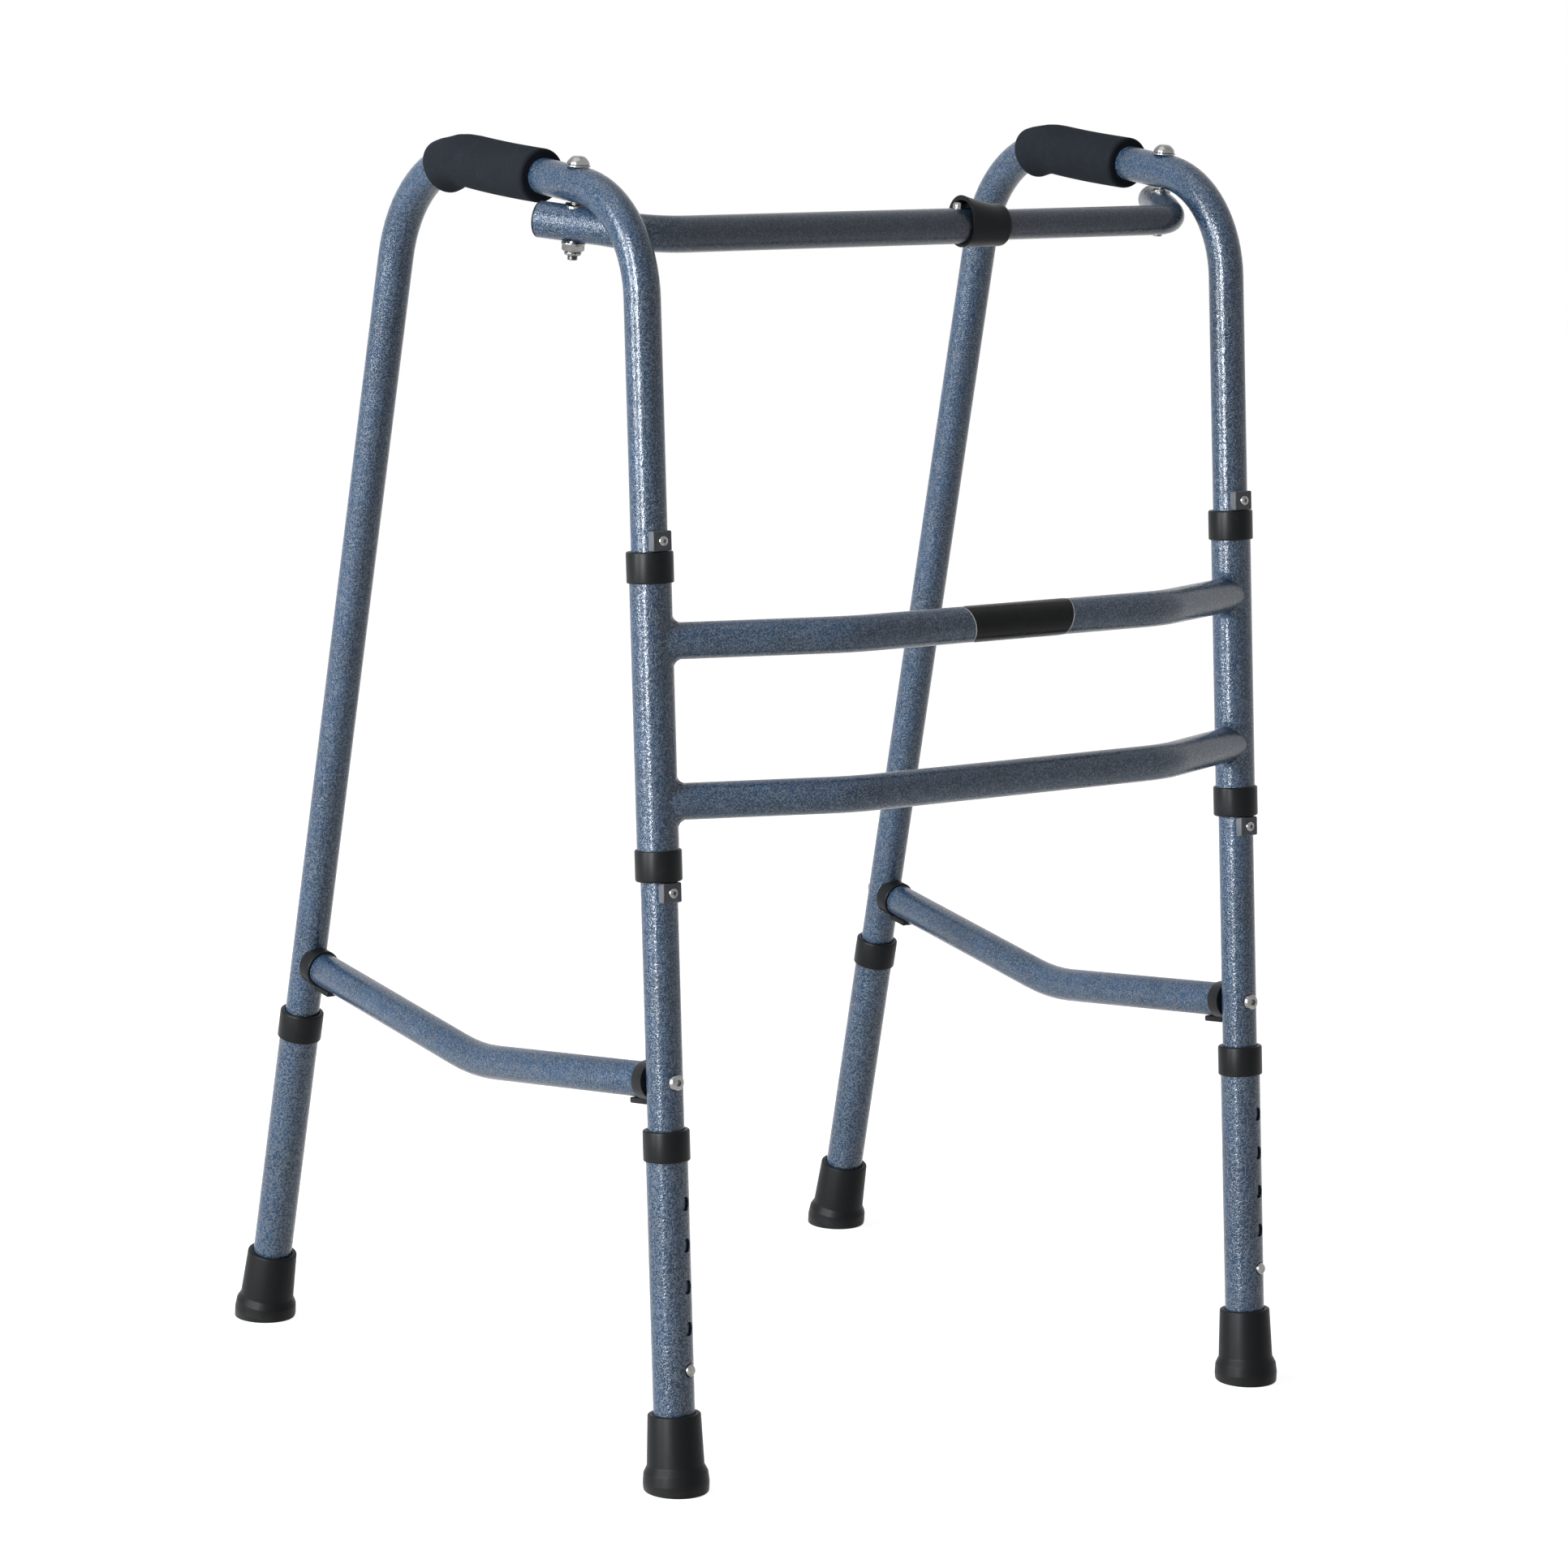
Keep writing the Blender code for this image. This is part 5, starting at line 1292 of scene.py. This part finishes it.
def nut_shape(seat):
    """Flanged lock nut: a chamfered hexagon between a flange and a round collar."""
    foot = seat - NUT_FLANGE - NUT_HEIGHT
    body_foot = foot + NUT_COLLAR
    corner = NUT_ACROSS_FLATS / math.sqrt(3.0) + NUT_SWELL
    waist = NUT_ACROSS_FLATS * 0.42
    sink = seat - NUT_FLANGE * 1.3
    joint = body_foot + NUT_SWELL
    hexagon = rod(UP * (seat - NUT_FLANGE / 2), UP * body_foot, corner, 6)
    rounder = turned([(0.0, seat), (corner, seat), (corner, body_foot + NUT_CHAMFER),
                      (NUT_ACROSS_FLATS * 0.46, body_foot), (0.0, body_foot)])
    flange = turned([(0.0, seat), (NUT_FLANGE_RADIUS, seat, FLANGE_EDGE),
                     (NUT_FLANGE_RADIUS, seat - NUT_FLANGE * 0.6, NUT_STEP), (corner, sink), (0.0, sink)])
    collar = turned([(0.0, joint), (waist, joint), (waist, body_foot - NUT_STEP),
                     (NUT_ACROSS_FLATS * 0.48, body_foot - NUT_STEP_DROP, NUT_STEP),
                     (NUT_ACROSS_FLATS * 0.44, foot, NUT_ROUND), (0.0, foot)])
    joined = combined(combined(hexagon, [rounder], "INTERSECT"), [flange, collar], "UNION")
    return combined(joined, [rod(UP * seat * 0.9, UP * foot * 1.1, BOLT_RADIUS + SEAT_GAP / 2)])


def shank_shape(top, tail):
    """Lower shank of a pivot bolt, threaded where it leaves the nut."""
    pitch = sizes().thread_pitch
    root = BOLT_RADIUS - pitch * 0.45
    turns = int(BOLT_TAIL * 1.6 / pitch)
    first = tail + pitch * (turns + 0.5)
    outline = [(0.0, top), (BOLT_RADIUS, top), (BOLT_RADIUS, first)]
    for number in range(turns):
        crest = first - pitch * (number + 1)
        outline += [(root, crest + pitch / 2), (BOLT_RADIUS, crest)]
    return turned(outline + [(root, tail), (0.0, tail)])


def make_bolt_heads():
    """Dome heads on the handles."""
    for label, sign in SIDES:
        seat = BOLT_POINT + HANDLE_NORMAL * (LEG_RADIUS - sizes().dent_depth * DENT_FIRMNESS)
        stand_in("bar_bolt_head_" + label, bolt_head_shape(),
                 side_matrix(sign) @ axes_along(seat, HANDLE_NORMAL), "side_" + label, "bright_zinc")


# Top bar

def bar_pivot(sign, tube_radius):
    """Where a bar end's axis crosses its bolt, and the bolt's direction."""
    matrix = side_matrix(sign)
    point = matrix @ (BOLT_POINT - HANDLE_NORMAL * (LEG_RADIUS + BAR_GAP + tube_radius))
    return point, (matrix.to_3x3() @ HANDLE_NORMAL).normalized()


def bar_hook(pivot, bolt_way, sign, tip_length):
    """Tip, knee and corner of one end of the bar."""
    slanted = ACROSS * (sign * math.sin(BAR_SLANT)) - FORWARD * math.cos(BAR_SLANT)
    outward = (slanted - bolt_way * slanted.dot(bolt_way)).normalized()
    corner = pivot - slanted * BAR_HOOK
    corner.z = pivot.z - BAR_DROP
    return [pivot + outward * tip_length, pivot - outward * BAR_KNEE, corner]


def bar_lines():
    """The bar's two halves: pivot, bolt's way and corners of each, from its tip inward."""
    left_pivot, left_bolt = bar_pivot(-1, BAR_RADIUS)
    right_pivot, right_bolt = bar_pivot(1, BAR_INNER_RADIUS)
    left = bar_hook(left_pivot, left_bolt, -1, BAR_LEFT_TIP)
    right = bar_hook(right_pivot, right_bolt, 1, BAR_RIGHT_TIP)
    right[2].y = left[2].y
    right[2].z = left[2].z
    mouth = Vector((BAR_MOUTH_X, left[2].y, left[2].z))
    inner = Vector((BAR_MOUTH_X - BAR_OVERLAP, left[2].y, left[2].z))
    return (left_pivot, left_bolt, [*left, mouth]), (right_pivot, right_bolt, [*right, inner])


def plug_shape(radius):
    """End plug: a thin rim on the tube's end and a stem inside it."""
    stem = radius - TUBE_WALL - SEAT_GAP
    return turned([(0.0, PLUG_RIM), (radius, PLUG_RIM, PLUG_RIM * 0.6), (radius, 0.0), (stem, 0.0),
                   (stem, -PLUG_DEPTH, SHANK_ROUND), (0.0, -PLUG_DEPTH)], sides=sizes().tube_sides)


def make_bar_half(label, body, line, bend, radius, node):
    """One length of the bar with its plug, washer, shank and nut."""
    pivot, bolt_way, corners = line
    shape = bent_skin(corners, (BAR_KNEE_BEND, bend), radius)
    button = Vector((LOCK_LEFT_X - LOCK_BUTTON_LEAD, corners[-1].y, corners[-1].z))
    hole = LOCK_BUTTON_RADIUS + HOLE_CLEARANCE
    add_rings(shape, button, ACROSS, hole * HOLE_MARGIN, hole / HOLE_RINGS)
    give_wall(shape, TUBE_WALL)
    shape = combined(shape, [rod(button, button + UP * radius * 1.5, hole)])
    stand_in(node, shape, None, body, "slate_blue_paint")

    tip_way = (corners[0] - corners[1]).normalized()
    across = tip_way.cross(bolt_way).normalized()
    foot = axes_of(pivot, across, tip_way, across.cross(tip_way))
    seat = -(radius + SEAT_GAP / 3)
    tail = seat - NUT_FLANGE - NUT_HEIGHT - BOLT_TAIL
    stand_in("bar_washer_" + label, washer_shape(radius, foot, tip_way), None, body, "bright_zinc")
    stand_in("bar_nut_" + label, nut_shape(seat), foot, body, "bright_zinc")
    stand_in("bar_bolt_shank_" + label, shank_shape(radius + WASHER_THICKNESS, tail), foot, body,
             "bright_zinc")
    end = axes_of(corners[0], across, tip_way.cross(across), tip_way)
    stand_in("bar_plug_" + label, plug_shape(radius), end, body, "black_plastic")


def hood_rise(along):
    """How far the top of the lock sleeve is raised at a distance from its mouth."""
    share = min(1.0, max(0.0, along / LOCK_HOOD_LENGTH))
    return LOCK_HOOD_RISE * (1.0 - share) ** LOCK_HOOD_CURVE


def raise_hood(shape, beyond):
    """Lift the upper half of a round shape by the hood's rise; up is X before it is laid down."""
    for vert in shape.verts:
        if vert.co.x > 0.0001 and vert.co.to_2d().length >= beyond:
            vert.co.x += hood_rise(vert.co.z)


def lock_shape():
    """Lock sleeve along Z: a body round the tubes, drawn up at its mouth into a hood over the button."""
    wide = BAR_RADIUS + SEAT_GAP
    narrow = BAR_INNER_RADIUS + SLIDE_CLEARANCE
    mouth = BAR_MOUTH_X + SEAT_GAP - LOCK_LEFT_X
    outline = [(narrow, LOCK_LENGTH), (LOCK_RADIUS, LOCK_LENGTH, LOCK_CORNER), (LOCK_RADIUS, 0.0),
               (wide, 0.0), (wide, mouth), (narrow, mouth)]
    shape = turned(outline, True, sizes().tube_sides)
    add_rings(shape, UP * (LOCK_LENGTH / 2), UP, LOCK_LENGTH / 2, LOCK_LENGTH / 32)
    raise_hood(shape, LOCK_RADIUS * LOCK_HOOD_EDGE)
    pocket = rod_about(ORIGIN, UP * LOCK_POCKET_DEPTH, LOCK_RADIUS - LOCK_POCKET_WALL)
    raise_hood(pocket, 0.0)
    bore = rod(UP * -LOCK_POCKET_DEPTH, UP * mouth, wide, sizes().tube_sides)
    shape = combined(shape, [pocket, bore])
    rims = sharp_edges(shape, lambda place: place.z < 0.0002, LOCK_RIM_ANGLE)
    return round_edges(shape, rims, LOCK_RIM_ROUND)


def make_top_bar():
    """Both lengths of the bar, the lock sleeve and its button."""
    left, right = bar_lines()
    make_bar_half("left", "top_bar_outer", left, BAR_LEFT_BEND, BAR_RADIUS, "bar_outer_tube")
    make_bar_half("right", "top_bar_inner", right, BAR_RIGHT_BEND, BAR_INNER_RADIUS, "bar_inner_tube")
    corner = left[2][2]
    start = Vector((LOCK_LEFT_X, corner.y, corner.z))
    stand_in("bar_lock_sleeve", lock_shape(), axes_of(start, UP, FORWARD, ACROSS), "top_bar_outer",
             "black_plastic")
    clip = clip_shape(BAR_INNER_RADIUS - TUBE_WALL, LOCK_BUTTON_RADIUS, BAR_RADIUS + LOCK_BUTTON_PROUD)
    upward = axes_of(start - ACROSS * LOCK_BUTTON_LEAD, UP, FORWARD, ACROSS)
    stand_in("bar_lock_button", clip, upward, "lock_button", "bright_zinc")


# Studio

SENSOR_WIDTH = 36.0
LENS_SHIFT = (-0.00238, -0.00954)
CAMERA_REACH = 50.0
FLOOR_SIZE = 12.0
FLOOR_COLOUR = (0.66, 0.64, 0.60)
FLOOR_GLOW = 0.92
WORLD_LIGHT = (0.085, 0.085, 0.095, 1.0)
WHITE = (1.0, 1.0, 1.0, 1.0)
LAMP_AIM = Vector((0.0, 0.0, 0.5))
FILL_AIM = Vector((0.0, 0.0, 0.4))


def make_camera():
    """The camera at the photograph's angle."""
    studio = bpy.context.scene.walker_studio
    across = Vector((math.cos(studio.azimuth), -math.sin(studio.azimuth), 0.0))
    ahead = Vector((math.sin(studio.azimuth) * math.cos(studio.elevation),
                    math.cos(studio.azimuth) * math.cos(studio.elevation), -math.sin(studio.elevation)))
    upward = across.cross(ahead)
    right = across * math.cos(studio.roll) + upward * math.sin(studio.roll)
    top = upward * math.cos(studio.roll) - across * math.sin(studio.roll)
    data = bpy.data.cameras.new("photo_camera")
    data.sensor_width = SENSOR_WIDTH
    data.lens = studio.lens
    data.shift_x, data.shift_y = LENS_SHIFT
    data.clip_end = CAMERA_REACH
    camera = bpy.data.objects.new("photo_camera", data)
    bpy.context.scene.collection.objects.link(camera)
    camera.matrix_world = axes_of(Vector(studio.place), right, top, -ahead)
    bpy.context.scene.camera = camera


def make_lamp(name, place, aim, width, height, power):
    """A soft rectangular lamp that faces a point."""
    data = bpy.data.lights.new(name, "AREA")
    data.shape = "RECTANGLE"
    data.size = width
    data.size_y = height
    data.energy = power
    lamp = bpy.data.objects.new(name, data)
    bpy.context.scene.collection.objects.link(lamp)
    toward = (aim - Vector(place)).normalized()
    lamp.matrix_world = Matrix.Translation(place) @ toward.to_track_quat("-Z", "Y").to_matrix().to_4x4()
    return lamp


def seen_directly(tree):
    """A socket that is one where the camera, a reflection or a clear material looks."""
    path = tree.nodes.new("ShaderNodeLightPath")
    seen = path.outputs["Is Camera Ray"]
    for ray in ("Is Glossy Ray", "Is Transmission Ray"):
        larger = tree.nodes.new("ShaderNodeMath")
        larger.operation = "MAXIMUM"
        tree.links.new(seen, larger.inputs[0])
        tree.links.new(path.outputs[ray], larger.inputs[1])
        seen = larger.outputs[0]
    return seen


def make_world():
    """White all round to the eye, and a plain grey light on the object."""
    world = bpy.data.worlds.new("studio")
    bpy.context.scene.world = world
    world.use_nodes = True
    tree = world.node_tree
    mix = tree.nodes.new("ShaderNodeMix")
    mix.data_type = "RGBA"
    mix.inputs[6].default_value = WORLD_LIGHT
    mix.inputs[7].default_value = WHITE
    tree.links.new(seen_directly(tree), mix.inputs[0])
    tree.links.new(mix.outputs[2], tree.nodes["Background"].inputs["Color"])


def make_floor():
    """A white floor that keeps a faint shadow."""
    shape = bmesh.new()
    bmesh.ops.create_grid(shape, x_segments=1, y_segments=1, size=FLOOR_SIZE / 2)
    floor = loose_object("studio_floor", shape)
    finish = Finish("studio_floor")
    seen = Value(finish, seen_directly(finish.tree))
    finish.give(Base_Color=FLOOR_COLOUR, Roughness=0.9, Specular_IOR_Level=0.0, Emission_Strength=FLOOR_GLOW,
                Emission_Color=finish.mixed(seen, (0.0, 0.0, 0.0), (1.0, 1.0, 1.0)))
    floor.data.materials.append(finish.material)


def make_lamps():
    """Four soft lamps; the strip shows in reflections only."""
    studio = bpy.context.scene.walker_studio
    make_lamp("side_lamp", (-5.8, 0.9, 1.9), LAMP_AIM, 1.10, 4.6, studio.side_power)
    strip = make_lamp("strip_lamp", (-5.5, -2.05, 1.9), LAMP_AIM, 0.80, 4.6, studio.strip_power)
    strip.visible_diffuse = False
    make_lamp("top_lamp", (-0.6, 0.2, 2.6), LAMP_AIM, 1.6, 1.6, studio.top_power)
    make_lamp("fill_lamp", (1.9, -1.6, 0.9), FILL_AIM, 0.8, 1.6, studio.fill_power)


# Operators

class WALKER_OT_front_frame(bpy.types.Operator):
    """Sleeves, collars, crossbars, weld beads and blank label"""

    bl_idname = "walker.front_frame"
    bl_label = "Front frame"

    def execute(self, context):
        make_sleeves()
        make_crossbar("upper", UPPER_CROSSBAR_UP)
        make_crossbar("lower", LOWER_CROSSBAR_UP)
        make_label()
        return {"FINISHED"}


class WALKER_OT_side_frames(bpy.types.Operator):
    """Bent tubes of both sides"""

    bl_idname = "walker.side_frames"
    bl_label = "Side frames"

    def execute(self, context):
        make_side_tubes()
        return {"FINISHED"}


class WALKER_OT_grips(bpy.types.Operator):
    """Foam hand grips"""

    bl_idname = "walker.grips"
    bl_label = "Grips"

    def execute(self, context):
        make_grips()
        return {"FINISHED"}


class WALKER_OT_stops(bpy.types.Operator):
    """Stop brackets with their screws"""

    bl_idname = "walker.stops"
    bl_label = "Stops"

    def execute(self, context):
        make_stops()
        return {"FINISHED"}


class WALKER_OT_braces(bpy.types.Operator):
    """Side rails with saddles and bolts"""

    bl_idname = "walker.braces"
    bl_label = "Braces"

    def execute(self, context):
        make_braces()
        return {"FINISHED"}


class WALKER_OT_legs(bpy.types.Operator):
    """Leg extensions with collars, snap clips and rubber feet"""

    bl_idname = "walker.legs"
    bl_label = "Legs"

    def execute(self, context):
        make_legs()
        return {"FINISHED"}


class WALKER_OT_top_bar(bpy.types.Operator):
    """Telescoping top bar with its lock and pivots"""

    bl_idname = "walker.top_bar"
    bl_label = "Top bar"

    def execute(self, context):
        make_bolt_heads()
        make_top_bar()
        return {"FINISHED"}


class WALKER_OT_studio(bpy.types.Operator):
    """Floor, lamps, world and camera"""

    bl_idname = "walker.studio"
    bl_label = "Studio"

    def execute(self, context):
        context.scene.view_settings.view_transform = "Standard"
        make_camera()
        make_world()
        make_floor()
        make_lamps()
        return {"FINISHED"}


OPERATORS = (
    WALKER_OT_studio,
    WALKER_OT_front_frame,
    WALKER_OT_side_frames,
    WALKER_OT_grips,
    WALKER_OT_stops,
    WALKER_OT_braces,
    WALKER_OT_legs,
    WALKER_OT_top_bar,
)


class WALKER_PT_sidebar(bpy.types.Panel):
    """Sidebar panel that makes the walker's pieces"""

    bl_idname = "WALKER_PT_sidebar"
    bl_label = "Folding walker"
    bl_space_type = "VIEW_3D"
    bl_region_type = "UI"
    bl_category = "Walker"

    def draw(self, context):
        for operator in OPERATORS:
            self.layout.operator(operator.bl_idname)
        for group in (context.scene.walker_sizes, context.scene.walker_colours, context.scene.walker_studio):
            column = self.layout.column()
            for name in group.__annotations__:
                column.prop(group, name)


CLASSES = (WalkerSizes, WalkerColours, WalkerStudio, *OPERATORS, WALKER_PT_sidebar)


def register():
    """Add the walker's settings, operators and panel to Blender."""
    for cls in CLASSES:
        bpy.utils.register_class(cls)
    bpy.types.Scene.walker_sizes = PointerProperty(type=WalkerSizes)
    bpy.types.Scene.walker_colours = PointerProperty(type=WalkerColours)
    bpy.types.Scene.walker_studio = PointerProperty(type=WalkerStudio)


def unregister():
    """Take them out again."""
    del bpy.types.Scene.walker_studio
    del bpy.types.Scene.walker_colours
    del bpy.types.Scene.walker_sizes
    for cls in reversed(CLASSES):
        bpy.utils.unregister_class(cls)


def main():
    """Dress the frame, piece by piece, each piece's box held to its node's."""
    register()
    bpy.ops.walker.studio()
    bpy.ops.walker.front_frame()
    bpy.ops.walker.side_frames()
    bpy.ops.walker.grips()
    bpy.ops.walker.stops()
    bpy.ops.walker.braces()
    bpy.ops.walker.legs()
    bpy.ops.walker.top_bar()


if __name__ == "__main__":
    main()
